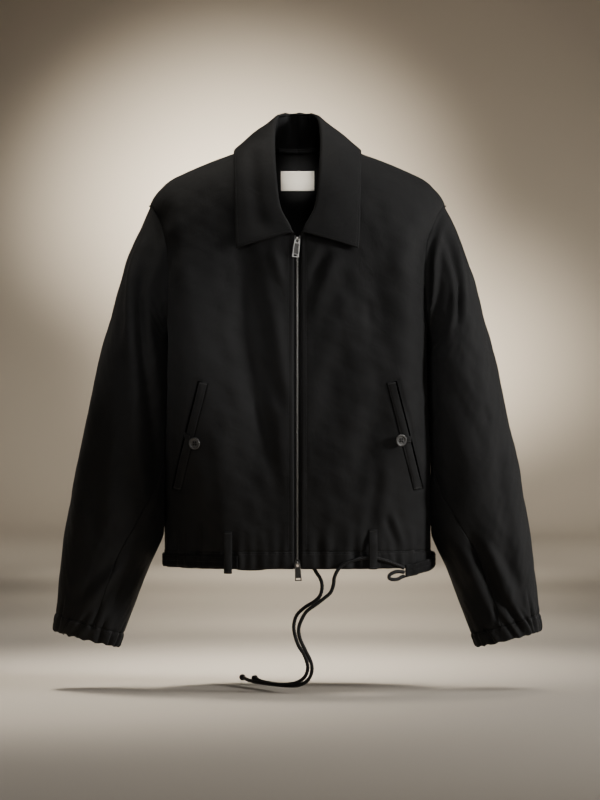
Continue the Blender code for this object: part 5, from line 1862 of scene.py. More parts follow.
@dataclass
class Sleeves:
    """Two-piece sleeves that hang in a soft bend and puff out over the cuffs."""

    side_seam: ClassVar[dict[str, float]] = dict(dip=0.00026, reach=0.0015, pucker=0.00016)
    rows: int = 190
    columns: int = 106
    under_columns: int = 38
    seam_gap: float = 0.2
    tuck: float = 0.9
    under: float = 0.0011
    clear: float = 0.0012
    drape_height: float = 0.0011
    rumple_height: float = 0.0004
    wave_radius: float = 0.12
    top_cut: Cut = Cut(0.38, 0.64, 0.181)
    under_cut: Cut = Cut(0.125, 0.6, 0.0425)

    def __post_init__(self) -> None:
        """Draws the waves of each sleeve."""
        self.drape = {side: Ripple(f"sleeve drape{side}", 0.06, 0.17, 0.9) for side in (LEFT, RIGHT)}
        self.rumple = {side: Ripple(f"sleeve rumple{side}", 0.016, 0.045, 1.2) for side in (LEFT, RIGHT)}

    def form(self, side: int, round_: Array, down: Array) -> Array:
        """The plain sleeve, its start tucked under the body and its inner side pushed off it.

        Args:
            side: +1 left or -1 right.
            round_: degrees round the sleeve.
            down: place along it, in rings from the armhole.

        Returns:
            Points.
        """
        round_ = wrap(round_)
        turn, height = FORM.armhole(np.abs(round_), round_ >= 0)
        start = FORM.place(side, turn - self.tuck * np.sin(np.radians(round_)), height, -self.under)
        rings = [start] + [ring_points(ring, side, round_) for ring in SLEEVE_RINGS]
        points = catmull_rom(np.array(rings), down)
        y, z = points[..., 1], points[..., 2]
        square = BODY_RINGS.squareness(z)
        share = np.clip(np.abs(y) / np.where(y < 0, BODY_RINGS.front(z), BODY_RINGS.back(z)), 0, 1)
        body = BODY_RINGS.half_width(z) * (1 - share**square) ** (1 / square) + self.clear
        pushed = np.maximum(body - np.abs(points[..., 0]), 0.0) * fade(down, 0.3, 1.2)
        points[..., 0] += side * pushed
        return points

    def normal(self, side: int, round_: Array, down: Array) -> Array:
        """Outward direction of the plain sleeve.

        Args:
            side: +1 left or -1 right.
            round_: degrees round the sleeve.
            down: place along it, in rings from the armhole.

        Returns:
            Unit directions.
        """
        around = self.form(side, round_ + 1, down) - self.form(side, round_ - 1, down)
        low, high = np.maximum(down - 0.02, 0.0), np.minimum(down + 0.02, CUFF_SEAM)
        along = self.form(side, round_, high) - self.form(side, round_, low)
        return unit(np.cross(around, along)) * side

    def rise(self, side: int, round_: Array, down: Array) -> Array:
        """Height of the cloth above the plain sleeve.

        Args:
            side: +1 left or -1 right.
            round_: degrees round the sleeve.
            down: place along it, in rings from the armhole.

        Returns:
            The rise of each place.
        """
        round_ = wrap(round_)
        x, z = round_ * DEGREE, -down * STATION
        angle = np.radians(round_)
        flat = (self.wave_radius * np.cos(angle), self.wave_radius * np.sin(angle) + z)
        total = crease_field(SLEEVE_CREASES[side], x, z)
        total = total + self.drape_height * self.drape[side](*flat) + self.rumple_height * self.rumple[side](*flat)
        inner = 1 - 0.8 * fade(np.abs(round_), 135, 165) * (1 - fade(down, 5.0, 6.0))
        back_join = fade(180 - np.abs(round_), 0.0, 22.0)
        ends = fade(down, 0.0, 0.25) * (1 - 0.6 * fade(down, CUFF_SEAM - 0.3, CUFF_SEAM))
        above = CUFF_HEIGHT + (CUFF_SEAM - down) * STATION
        return total * inner * (0.4 + 0.6 * back_join) * ends + pleat_rise(side, round_, above)

    def build(self) -> None:
        """Makes the top and the under piece of both sleeves."""
        for name, side in SIDES.items():
            for piece, columns, cut in (("top", self.columns, self.top_cut),
                                        ("under", self.under_columns, self.under_cut)):
                def place(across: Array, up: Array, side: int = side, piece: str = piece) -> Array:
                    """Points of one piece of the sleeve.

                    Args:
                        across: 0 to 1 across it.
                        up: 0 to 1 up it.
                        side: +1 left or -1 right.
                        piece: "top" or "under".

                    Returns:
                        Points.
                    """
                    down = CUFF_SEAM * (1 - up)
                    front, back = SLEEVE_SEAMS.front(down), SLEEVE_SEAMS.back(down)
                    start, end = (-back, front) if piece == "top" else (front, 360 - back)
                    round_ = start + self.seam_gap + (end - start - 2 * self.seam_gap) * across
                    shape, round_, down = up.shape, round_.ravel(), down.ravel()
                    out = self.rise(side, round_, down)[:, None] * self.normal(side, round_, down)
                    return (self.form(side, round_, down) + out).reshape(*shape, 3)
                rolls = [Roll(edge, **(SEAM_EDGE if edge is Edge.BOTTOM else self.side_seam)) for edge in Edge]
                made = cloth(f"sleeve_{piece}_{name}_cloth", columns, self.rows, place, rolls=rolls, flip=side > 0)
                settle(made, "shell_cloth", [f"sleeve_{piece}_{name}"])
                lay_out(cut, [f"front_{name}_cloth", "back_cloth"])


@dataclass
class Cuffs:
    """The elastic casings at the ends of the sleeves, gathered in uneven pleats."""

    columns: int = 210
    rows: int = 26
    seam_drop: float = -0.014
    puff: float = 0.0012
    stitch_in: float = 0.003
    girth: float = 0.27
    wrinkle_height: float = 0.00022
    scallop_height: float = 0.0009
    cut: Cut = Cut(0.275, 0.03, 0.0081)

    def surface(self, side: int, across: Array, up: Array) -> Array:
        """Points of one cuff's outer face.

        Args:
            side: +1 left or -1 right.
            across: 0 to 1 once round it.
            up: 0 at its lower edge to 1 at its seam.

        Returns:
            Points.
        """
        round_ = 360 * across
        top, low = ring_points(SLEEVE_RINGS[-1], side, round_), ring_points(CUFF_RING, side, round_)
        points = top + (low - top) * (self.seam_drop + (1 - self.seam_drop) * (1 - up))[..., None]
        centre = (points.min(axis=1) + points.max(axis=1))[:, None] / 2
        out = unit((points - centre) * (1.0, 1.6, 0.0))
        rise = self.puff * np.sin(math.pi * np.clip(up, 0, 1)) ** 0.6
        rise = rise + pleat_rise(side, round_, CUFF_HEIGHT * up)
        rise = rise + self.wrinkle_height * CUFF_WRINKLES(self.girth * across, up * CUFF_HEIGHT)
        points = points + out * rise[..., None]
        scallop = self.scallop_height * CUFF_SCALLOPS(self.girth * across + side, 0 * up) * (1 - up)
        return points + stack(0.0, 0.0, scallop)

    def build(self) -> None:
        """Makes both cuffs and the stitches of their casing seams."""
        rolls = (Roll(Edge.BOTTOM, 0.0013, 0.0018), Roll(Edge.TOP, 0.0011, 0.0016, 0.0004),
                 Roll(Edge.TOP, 0.0004, 0.0009, 0.0003, self.stitch_in))
        for name, side in SIDES.items():
            def place(across: Array, up: Array, side: int = side) -> Array:
                """Points of one cuff."""
                return self.surface(side, across, up)
            made = cloth(f"cuff_{name}_cloth", self.columns, self.rows, place, CASING_WALL, rolls, closed=True,
                         flip=side > 0)
            settle(made, "shell_cloth", [f"cuff_{name}"])
            across = np.linspace(0, 1, 400)[None, :]
            stitches = Stitching(f"cuff_{name}_stitches", 0.003, 0.0022)
            stitches.row(self.surface(side, across, np.full_like(across, 1 - self.stitch_in / CUFF_HEIGHT))[0])
            lay_out(self.cut, [f"sleeve_top_{name}_cloth"], [stitches.finish()])


CUFF_WRINKLES = Ripple("cuff wrinkles", 0.004, 0.011, 0.5, 16)
CUFF_SCALLOPS = Ripple("cuff scallops", 0.009, 0.03, 0.0, 8)


# ---------- the collar
COLLAR_LINES = Table(
    "part roll_x roll_y roll_z edge_x edge_y edge_z",
    (0.0, 0.0095, -0.1265, -0.13, 0.09, -0.1215, -0.1527),
    (0.12, 0.0203, -0.122, -0.1128, 0.092, -0.1145, -0.1226),
    (0.24, 0.0315, -0.115, -0.0877, 0.093, -0.1025, -0.0826),
    (0.34, 0.036, -0.103, -0.057, 0.0938, -0.09, -0.0574),
    (0.43, 0.0382, -0.088, -0.0315, 0.0945, -0.074, -0.0357),
    (0.55, 0.0403, -0.042, 0.0105, 0.0958, -0.04, -0.009),
    (0.68, 0.04, -0.002, 0.037, 0.096, -0.004, -0.0005),
    (0.8, 0.035, 0.03, 0.052, 0.085, 0.042, -0.004),
    (0.9, 0.022, 0.055, 0.0598, 0.053, 0.07, -0.013),
    (0.96, 0.009, 0.0645, 0.06, 0.0225, 0.082, -0.0215),
    (1.0, 0.0, 0.0655, 0.06, 0.0, 0.0835, -0.0225))
NECK_TURN = 0.6          # collar part at the shoulder seam


class NeckGather(NamedTuple):
    """A short upright fold of the stand at the back neck."""

    x: float
    width: float
    height: float


def halves(across: Array) -> tuple[Array, Array]:
    """The part from the zip to the centre back, and the side, of places round the whole collar."""
    return 1 - np.abs(2 * across - 1), np.where(across < 0.5, LEFT, RIGHT)


@dataclass
class Collar:
    """The fall that folds out over a soft roll, and the stand inside it."""

    columns: int = 230
    fall_rows: int = 36
    stand_rows: int = 22
    crown: float = 0.003
    left_crown: float = 0.0012
    right_crown: float = 0.0006
    left_dent: float = 0.0006
    right_dent: float = 0.0034
    bulge: float = 0.0016
    drape_height: float = 0.0009
    stand_crown: float = 0.0015
    seam_step: float = 0.0013
    roll_radius: float = 0.0038
    stitch_in: float = 0.0034
    leaf: float = 0.066
    half_girth: float = 0.29
    gathers: tuple[NeckGather, ...] = (
        NeckGather(-0.0262, 0.0026, -0.003), NeckGather(-0.0185, 0.0034, 0.002),
        NeckGather(-0.0098, 0.0026, -0.0032), NeckGather(0.003, 0.0046, 0.0022),
        NeckGather(0.015, 0.0028, -0.0028), NeckGather(0.0215, 0.003, 0.0016))
    fall_cut: Cut = Cut(0.56, 0.095, 0.048)
    stand_cut: Cut = Cut(0.42, 0.045, 0.015)

    def __post_init__(self) -> None:
        """Draws the collar's unevenness."""
        self.drape = Ripple("collar drape", 0.035, 0.09, 0.6)

    @staticmethod
    def line(prefix: str, part: Array) -> Array:
        """Points of the roll or of the outer edge of the left half."""
        return stack(*(getattr(COLLAR_LINES, f"{prefix}_{axis}")(part) for axis in "xyz"))

    def frame(self, part: Array) -> tuple[Array, Array, Array, Array, Array]:
        """The section of the collar at each part.

        Args:
            part: 0 at the zip, 1 at the centre back.

        Returns:
            The roll, the edge, the direction up the leaf, the direction out of it and the roll's radius.
        """
        roll, edge = self.line("roll", part), self.line("edge", part)
        low, high = np.maximum(part - 0.01, 0), np.minimum(part + 0.01, 1)
        ahead, behind = (self.line("roll", at) + self.line("edge", at) for at in (high, low))
        out = unit(np.cross(edge - roll, ahead - behind))
        radius = self.roll_radius * (0.55 + 0.45 * fade(part, 0.0, 0.1))
        return roll, edge, unit(roll - edge), out, radius[..., None]

    def inner_end(self, part: Array) -> Array:
        """Where the roll meets the stand, on the left half."""
        roll, _, up_leaf, out, radius = self.frame(part)
        return roll + up_leaf * self.lift(part) * radius - out * 2 * radius

    @staticmethod
    def lift(part: Array) -> Array:
        """How far the roll's middle lies up the leaf from its line, in radii."""
        return (0.6 - 1.3 * fade(part, 0.7, 0.9))[..., None]

    def gather(self, x: Array) -> Array:
        """Height of the small folds at the back neck."""
        return sum(fold.height * np.exp(-(((x - fold.x) / fold.width) ** 2)) for fold in self.gathers)

    def fall(self, across: Array, up: Array) -> Array:
        """Points of the fall: across from the left zip end round the neck, up from its outer edge.

        Args:
            across: 0 at the left zip end to 1 at the right one.
            up: 0 at the outer edge to 1 at the stand.

        Returns:
            Points.
        """
        shape, across, up = up.shape, across.ravel(), up.ravel()
        part, side = halves(across)
        roll, edge, up_leaf, out, radius = self.frame(part)
        top = roll + up_leaf * self.lift(part) * radius
        leaf = np.linalg.norm(top - edge, axis=-1)
        share = leaf / (leaf + math.pi * radius[:, 0])
        along = np.clip(up / share, 0, 1)
        turn = (np.clip((up - share) / (1 - share), 0, 1) * math.pi)[:, None]
        belly = np.sin(math.pi * along)
        front = 1 - fade(part, 0.42, 0.62)
        full = np.where(side > 0, self.left_crown * belly * front, self.right_crown * belly)
        trough = np.exp(-(((along - 0.5) / 0.2) ** 2)) * fade(part, 0.02, 0.16) * front
        full = full - np.where(side < 0, self.right_dent * trough, self.left_dent * trough)
        waves = self.drape(roll[:, 0] * side * 2 + roll[:, 1], leaf * along)
        full = full + self.crown * belly + self.drape_height * waves * belly
        full = full + self.bulge * belly * np.exp(-(((part - 0.3) / 0.06) ** 2)) * np.where(side > 0, 0.4, -0.5)
        points = edge + (top - edge) * along[:, None] + out * full[:, None]
        bend = up_leaf * np.sin(turn) + out * np.cos(turn)
        at_back = fade(part, 0.78, 0.86) * fade(turn[:, 0], 0.9, 2.2)
        points = points + (bend - out) * radius
        mirror = stack(side, 1.0, 1.0)
        points = points * mirror
        points = points + bend * mirror * (self.gather(points[:, 0]) * at_back)[:, None]
        return points.reshape(*shape, 3)

    def stand(self, across: Array, up: Array) -> Array:
        """Points of the stand's inner face, up from the neck seam.

        Args:
            across: 0 at the left zip end to 1 at the right one.
            up: 0 at the neck seam to 1 at the fall.

        Returns:
            Points.
        """
        shape, across, up = up.shape, across.ravel(), up.ravel()
        part, side = halves(across)
        front = part <= NECK_TURN
        front_place = FORM.neck(FRONT_NECK, np.clip(part / NECK_TURN, 0, 1), Face.FRONT)
        back_place = FORM.neck(BACK_NECK, np.clip((part - NECK_TURN) / (1 - NECK_TURN), 0, 1), Face.BACK)
        turn, height = (np.where(front, a, b) for a, b in zip(front_place, back_place))
        mirror = stack(side, 1.0, 1.0)
        seam = FORM.place(side, turn, height) * mirror
        top = self.inner_end(part)
        low, high = np.maximum(part - 0.01, 0), np.minimum(part + 0.01, 1)
        inward = unit(np.cross(top - seam, self.inner_end(high) - self.inner_end(low)))
        full = self.stand_crown * np.sin(math.pi * up)
        at_back = fade(part, 0.78, 0.86) * fade(up, 0.15, 0.95)
        full = full + self.gather(top[:, 0] * side) * at_back
        points = seam + (top - seam) * up[:, None] + inward * (self.seam_step * (1 - up) + full)[:, None]
        return (points * mirror).reshape(*shape, 3)

    def build(self) -> None:
        """Makes the fall with its edge stitches, and the stand."""
        outer = (*ENDS, Edge.BOTTOM)
        rolls = rolled(outer, 0.0012, 0.0012) + rolled(outer, line=self.stitch_in, **STITCHED)
        rolls += (Roll(Edge.TOP, 0.0005, 0.0012),)
        fall = cloth("collar_fall_cloth", self.columns, self.fall_rows, self.fall, FALL_WALL, rolls)
        settle(fall, "shell_cloth", ["collar_fall"])
        stitches = Stitching("collar_stitches")
        inset, shift = self.stitch_in / self.leaf, self.stitch_in / self.half_girth
        long, short = np.linspace(shift, 1 - shift, 900)[None, :], np.linspace(inset, 0.86, 160)[None, :]
        stitches.row(self.fall(long, np.full_like(long, inset))[0])
        for start in (shift, 1 - shift):
            stitches.row(self.fall(np.full_like(short, start), short)[0])
        lay_out(self.fall_cut, ["collar_stand_cloth"], [stitches.finish()])
        rolls = (Roll(Edge.BOTTOM, 0.0007, 0.0016), Roll(Edge.TOP, 0.0005, 0.0012))
        stand = cloth("collar_stand_cloth", self.columns, self.stand_rows, self.stand, rolls=rolls, flip=True)
        settle(stand, "shell_cloth", ["collar_stand"])
        lay_out(self.stand_cut, ["front_left_cloth", "front_right_cloth", "back_cloth"])


# ---------- the zip
ZIP_DEPTH = 0.0033       # from the plain front to the chain's middle


def zip_plane(z: Array | float) -> Array:
    """Depth of the chain's middle at each height."""
    height = FORM.height_at(FRONT_EDGE, np.asarray(z, float))
    return FORM.form(LEFT, FORM.turn_at(FRONT_EDGE, height, Face.FRONT), height)[..., 1] + ZIP_DEPTH


def rounded(corners: Sequence[tuple[float, float]], radius: float, steps: int = 4) -> list[tuple[float, float]]:
    """A closed outline with each corner turned into a short curve.

    Args:
        corners: its corners in order.
        radius: how far from each corner the curve starts.
        steps: pieces of each curve.

    Returns:
        The outline's points.
    """
    result = []
    count = len(corners)
    for i, corner in enumerate(corners):
        here = Vector(corner)
        before = Vector(corners[i - 1]) - here
        after = Vector(corners[(i + 1) % count]) - here
        start = here + before.normalized() * min(radius, before.length / 2)
        end = here + after.normalized() * min(radius, after.length / 2)
        for step in range(steps + 1):
            t = step / steps
            result.append(tuple((1 - t) ** 2 * start + 2 * t * (1 - t) * here + t * t * end))
    return result


def holed_plate(outlines: Sequence[Sequence[tuple[float, float]]], front: float, back: float) -> BMesh:
    """A flat plate in the XZ plane with holes.

    Args:
        outlines: the outer outline first, then each hole's, as (x, z) points.
        front: its front depth.
        back: its back depth.

    Returns:
        The plate.
    """
    shape = bmesh.new()
    edges = []
    for outline in outlines:
        line = [shape.verts.new((x, front, z)) for x, z in outline]
        edges += [shape.edges.new((a, b)) for a, b in zip(line, line[1:] + line[:1])]
    bmesh.ops.triangle_fill(shape, edges=edges, use_beauty=True)
    grown = bmesh.ops.extrude_face_region(shape, geom=shape.faces[:], use_keep_orig=True)
    bmesh.ops.translate(shape, verts=grown_verts(grown), vec=(0, back - front, 0))
    bmesh.ops.recalc_face_normals(shape, faces=shape.faces)
    return shape


class SliderPlace(NamedTuple):
    """A slider's height, +1 if its wide end is up, and its tab's length, slope and lean in degrees."""

    z: float
    wide: int
    length: float
    slope: float
    lean: float


SLIDERS = {"top": SliderPlace(-0.1392, 1, 0.0272, 7.0, 6.0), "bottom": SliderPlace(-0.614, -1, 0.026, 0.0, -3.0)}


def tapered(half: float, z: float, end_half: float, end_z: float, radius: float) -> list[tuple[float, float]]:
    """A rounded outline with two level ends of given half widths."""
    return rounded([(-half, z), (half, z), (end_half, end_z), (-end_half, end_z)], radius)


@dataclass
class FrontZip:
    """The two-way zip: tapes, interlocked teeth, two sliders and their hanging tabs."""

    low: float = -0.614
    top: float = -0.139
    pitch: float = 0.0021
    tooth: Point = (0.0021, 0.0021, 0.00112)
    past_middle: float = 0.0005
    tape_low: float = HEM + 0.0006
    tape_top: float = -0.1355
    tape_start: float = 0.0023
    tape_width: float = 0.01
    tape_lift: float = 0.0005
    plate: Point = (0.0096, 0.0011, 0.0105)
    space: float = 0.004
    post: float = 0.0011
    rail: float = 0.0011
    bail_width: float = 0.0016
    bail_radii: tuple[float, float] = (0.0017, 0.0026)
    bail_reach: tuple[float, float] = (2.06, 1.69)
    pull_width: float = 0.0112
    pull_thick: float = 0.0012
    layer: float = 0.0004
    bar: float = 0.00055
    hinge_out: float = 0.00235
    tape_cut: Cut = Cut(0.0102, 0.49, 0.0049)

    def build(self) -> None:
        """Makes every piece of the zip."""
        for name, side in SIDES.items():
            def tape(across: Array, up: Array, side: int = side) -> Array:
                """Points of one tape's front face."""
                z = self.tape_low + (self.tape_top - self.tape_low) * up
                return stack(side * (self.tape_start + self.tape_width * across), zip_plane(z) - self.tape_lift, z)
            piece = cloth(f"zip_tape_{name}_strip", 8, 60, tape, 0.001, flip=side < 0)
            settle(piece, "zip_tape", [f"zip_tape_{name}"])
            lay_out(self.tape_cut, [f"front_{name}_cloth"])
        self.teeth()
        for name, place in SLIDERS.items():
            self.slider(name, place.z, place.wide)
            self.pull(name, place)

    def teeth(self) -> None:
        """The two rows of teeth and the top stops."""
        one = bpy.data.meshes.new("tooth")
        width, depth, height = self.tooth
        shape = block((-self.past_middle, -depth / 2, -height / 2),
                      (width - self.past_middle, depth / 2, height / 2), 0.00026, 1)
        shape.to_mesh(one)
        shape.free()
        builder = bmesh.new()
        count = int((self.top - self.low) / self.pitch)
        for side in (LEFT, RIGHT):
            for z in self.low + self.pitch * (np.arange(count) + (0.5 if side > 0 else 0.0)):
                known = len(builder.verts)
                builder.from_mesh(one)
                builder.verts.ensure_lookup_table()
                place = Matrix.Translation((0.0, float(zip_plane(z)), z)) @ Matrix.Diagonal((side, 1, 1, 1))
                bmesh.ops.transform(builder, matrix=place, verts=builder.verts[known:])
        bpy.data.meshes.remove(one)
        y = float(zip_plane(self.top))
        for side in (LEFT, RIGHT):
            inner, outer = sorted((side * 0.0002, side * 0.0021))
            merge_in(builder, block((inner, y - 0.0012, self.top + 0.0002),
                                    (outer, y + 0.0012, self.top + 0.003), 0.0004))
        settle(add_piece("zip_teeth", builder, 35.0, recalculate=True), "zip_metal", ["zip_chain"])

    def slider(self, name: str, z: float, wide: int) -> None:
        """One slider: two plates, a rail down each side and a post between them.

        Args:
            name: "top" or "bottom".
            z: height of its middle.
            wide: +1 if its wide end is up.
        """
        width, thick, height = self.plate
        y, half = float(zip_plane(z)), self.space / 2
        builder = bmesh.new()
        right = [(0.36 * width, -height / 2), (width / 2, height * 0.1), (width * 0.47, height / 2),
                 (width * 0.24, height / 2), (self.post, height / 2 - 0.004)]
        outline = [(x, z + wide * up) for x, up in right + [(-x, up) for x, up in reversed(right)]]
        for front, back in ((y - half - thick, y - half), (y + half, y + half + thick)):
            merge_in(builder, holed_plate([rounded(outline, 0.0007)], front, back))
        for side in (LEFT, RIGHT):
            for front, back in ((y - half - 0.0002, y - half + self.rail), (y + half - self.rail, y + half + 0.0002)):
                inner, outer = sorted((side * (width / 2 - 0.001), side * (width / 2 - 0.0001)))
                low, high = sorted((z - wide * 0.001, z + wide * (height / 2 - 0.0006)))
                merge_in(builder, block((inner, front, low), (outer, back, high), 0.0002, 1))
        post = z + wide * (height / 2 - 0.005)
        merge_in(builder, block((-self.post, y - half - 0.0003, post - 0.001),
                                (self.post, y + half + 0.0003, post + 0.001), 0.0003))
        piece = add_piece(f"zip_slider_{name}", builder, 40.0, recalculate=True)
        self.soften(piece)
        # painted shade: the slider body is a darker copy of the zip metal, so the tab's eye shows dark against it
        settle(piece, "zip_shade", [f"slider_{name}"], slot="zip_metal")
        settle(add_piece(f"zip_bail_{name}", self.bail(y - half - thick, z), 40.0), "zip_metal")

    def bail(self, front: float, z: float) -> BMesh:
        """The arch that the tab hangs from.

        Args:
            front: depth of the slider's face.
            z: height of the arch's middle.

        Returns:
            The arch.
        """
        half, (inner, outer) = self.bail_width / 2, self.bail_radii
        shape = bmesh.new()
        section = ((-half, inner), (half, inner), (half, outer), (-half, outer))
        corners = [shape.verts.new((x, 0.0, radius)) for x, radius in section]
        face = shape.faces.new(corners)
        bmesh.ops.spin(shape, geom=[face] + face.edges[:] + corners, cent=(0, 0, 0), axis=(1, 0, 0), steps=18,
                       angle=math.pi, use_merge=False)
        for vertex in shape.verts:
            share = (math.hypot(vertex.co.y, vertex.co.z) - inner) / (outer - inner)
            vertex.co.y = -abs(vertex.co.y) * (self.bail_reach[0] + (self.bail_reach[1] - self.bail_reach[0]) * share)
        bmesh.ops.remove_doubles(shape, verts=shape.verts, dist=1e-6)
        bmesh.ops.recalc_face_normals(shape, faces=shape.faces)
        bmesh.ops.translate(shape, verts=shape.verts, vec=(0, front + 0.0002, z))
        return shape

    @staticmethod
    def soften(piece: Object, width: float = 0.00022) -> None:
        """Rounds a metal piece's edges with a live bevel.

        Args:
            piece: the piece.
            width: how far the rounding reaches.
        """
        bevel = piece.modifiers.new("edges", "BEVEL")
        bevel.width = width
        bevel.segments = 2
        bevel.limit_method = "ANGLE"
        bevel.angle_limit = math.radians(50)

    def pull(self, name: str, place: SliderPlace) -> None:
        """One tab, with its eye, its sunk panel and its slot, hung from its slider.

        Args:
            name: "top" or "bottom".
            place: where its slider is and how it hangs.
        """
        half, thick, length = self.pull_width / 2, self.pull_thick / 2, place.length
        outline = rounded([(-0.003, self.bar), (0.003, self.bar), (half - 0.0014, -0.0035), (half - 0.0006, -length),
                           (-half + 0.0006, -length), (-half + 0.0014, -0.0035)], 0.0012)
        eye = tapered(0.0017, -self.bar, 0.0017, -self.bar - 0.0046, 0.0011)
        slot = tapered(0.0033, 0.0016 - length, 0.0033, 0.0042 - length, 0.001)
        panel = tapered(0.003, -0.0066, 0.0038, 0.0048 - length, 0.001)
        builder = bmesh.new()
        merge_in(builder, holed_plate([outline, eye, slot], -thick + self.layer, thick - self.layer))
        for front, back in ((-thick, -thick + self.layer), (thick - self.layer, thick)):
            merge_in(builder, holed_plate([outline, eye, slot, panel], front, back))
        bmesh.ops.remove_doubles(builder, verts=builder.verts, dist=1e-7)
        hinge = (0.0, float(zip_plane(place.z)) - self.space / 2 - self.plate[1] - self.hinge_out, place.z)
        turn = Matrix.Translation(hinge) @ Matrix.Rotation(math.radians(place.lean), 4, "Y")
        turn = turn @ Matrix.Rotation(-math.radians(place.slope), 4, "X")
        bmesh.ops.transform(builder, matrix=turn, verts=builder.verts)
        piece = add_piece(f"zip_tab_{name}", builder, 40.0)
        self.soften(piece, 0.00012)
        settle(piece, "zip_pull", [f"pull_tab_{name}"], body=f"pull_{name}", slot="zip_metal")
        # painted shade: a darker metal plate on the floor of the tab's sunk panel
        recess_shade_plate = holed_plate([panel], -thick + 0.00022, -thick + 0.00042)
        bmesh.ops.transform(recess_shade_plate, matrix=turn, verts=recess_shade_plate.verts)
        settle(add_piece(f"zip_tab_{name}_panel", recess_shade_plate, 40.0), "zip_shade", body=f"pull_{name}", slot="zip_metal")


# ---------- pockets
QUARTERS = tuple(math.radians(45 + 90 * quarter) for quarter in range(4))
# the button's section as shares of its radius and thickness, from its well round to its back
BUTTON_PROFILE = ((0.58, 0.42), (0.6, 0.5), (0.66, 0.74), (0.74, 0.9), (0.8, 0.985), (0.86, 1.0), (0.92, 0.97),
                  (0.97, 0.88), (1.0, 0.74), (1.0, 0.42), (0.97, 0.22), (0.9, 0.08), (0.8, 0.02), (0.6, 0.0),
                  (0.0, 0.0))


def circle(x: float, y: float, radius: float, count: int) -> list[tuple[float, float]]:
    """Points round a circle."""
    angles = [2 * math.pi * i / count for i in range(count)]
    return [(x + radius * math.cos(angle), y + radius * math.sin(angle)) for angle in angles]


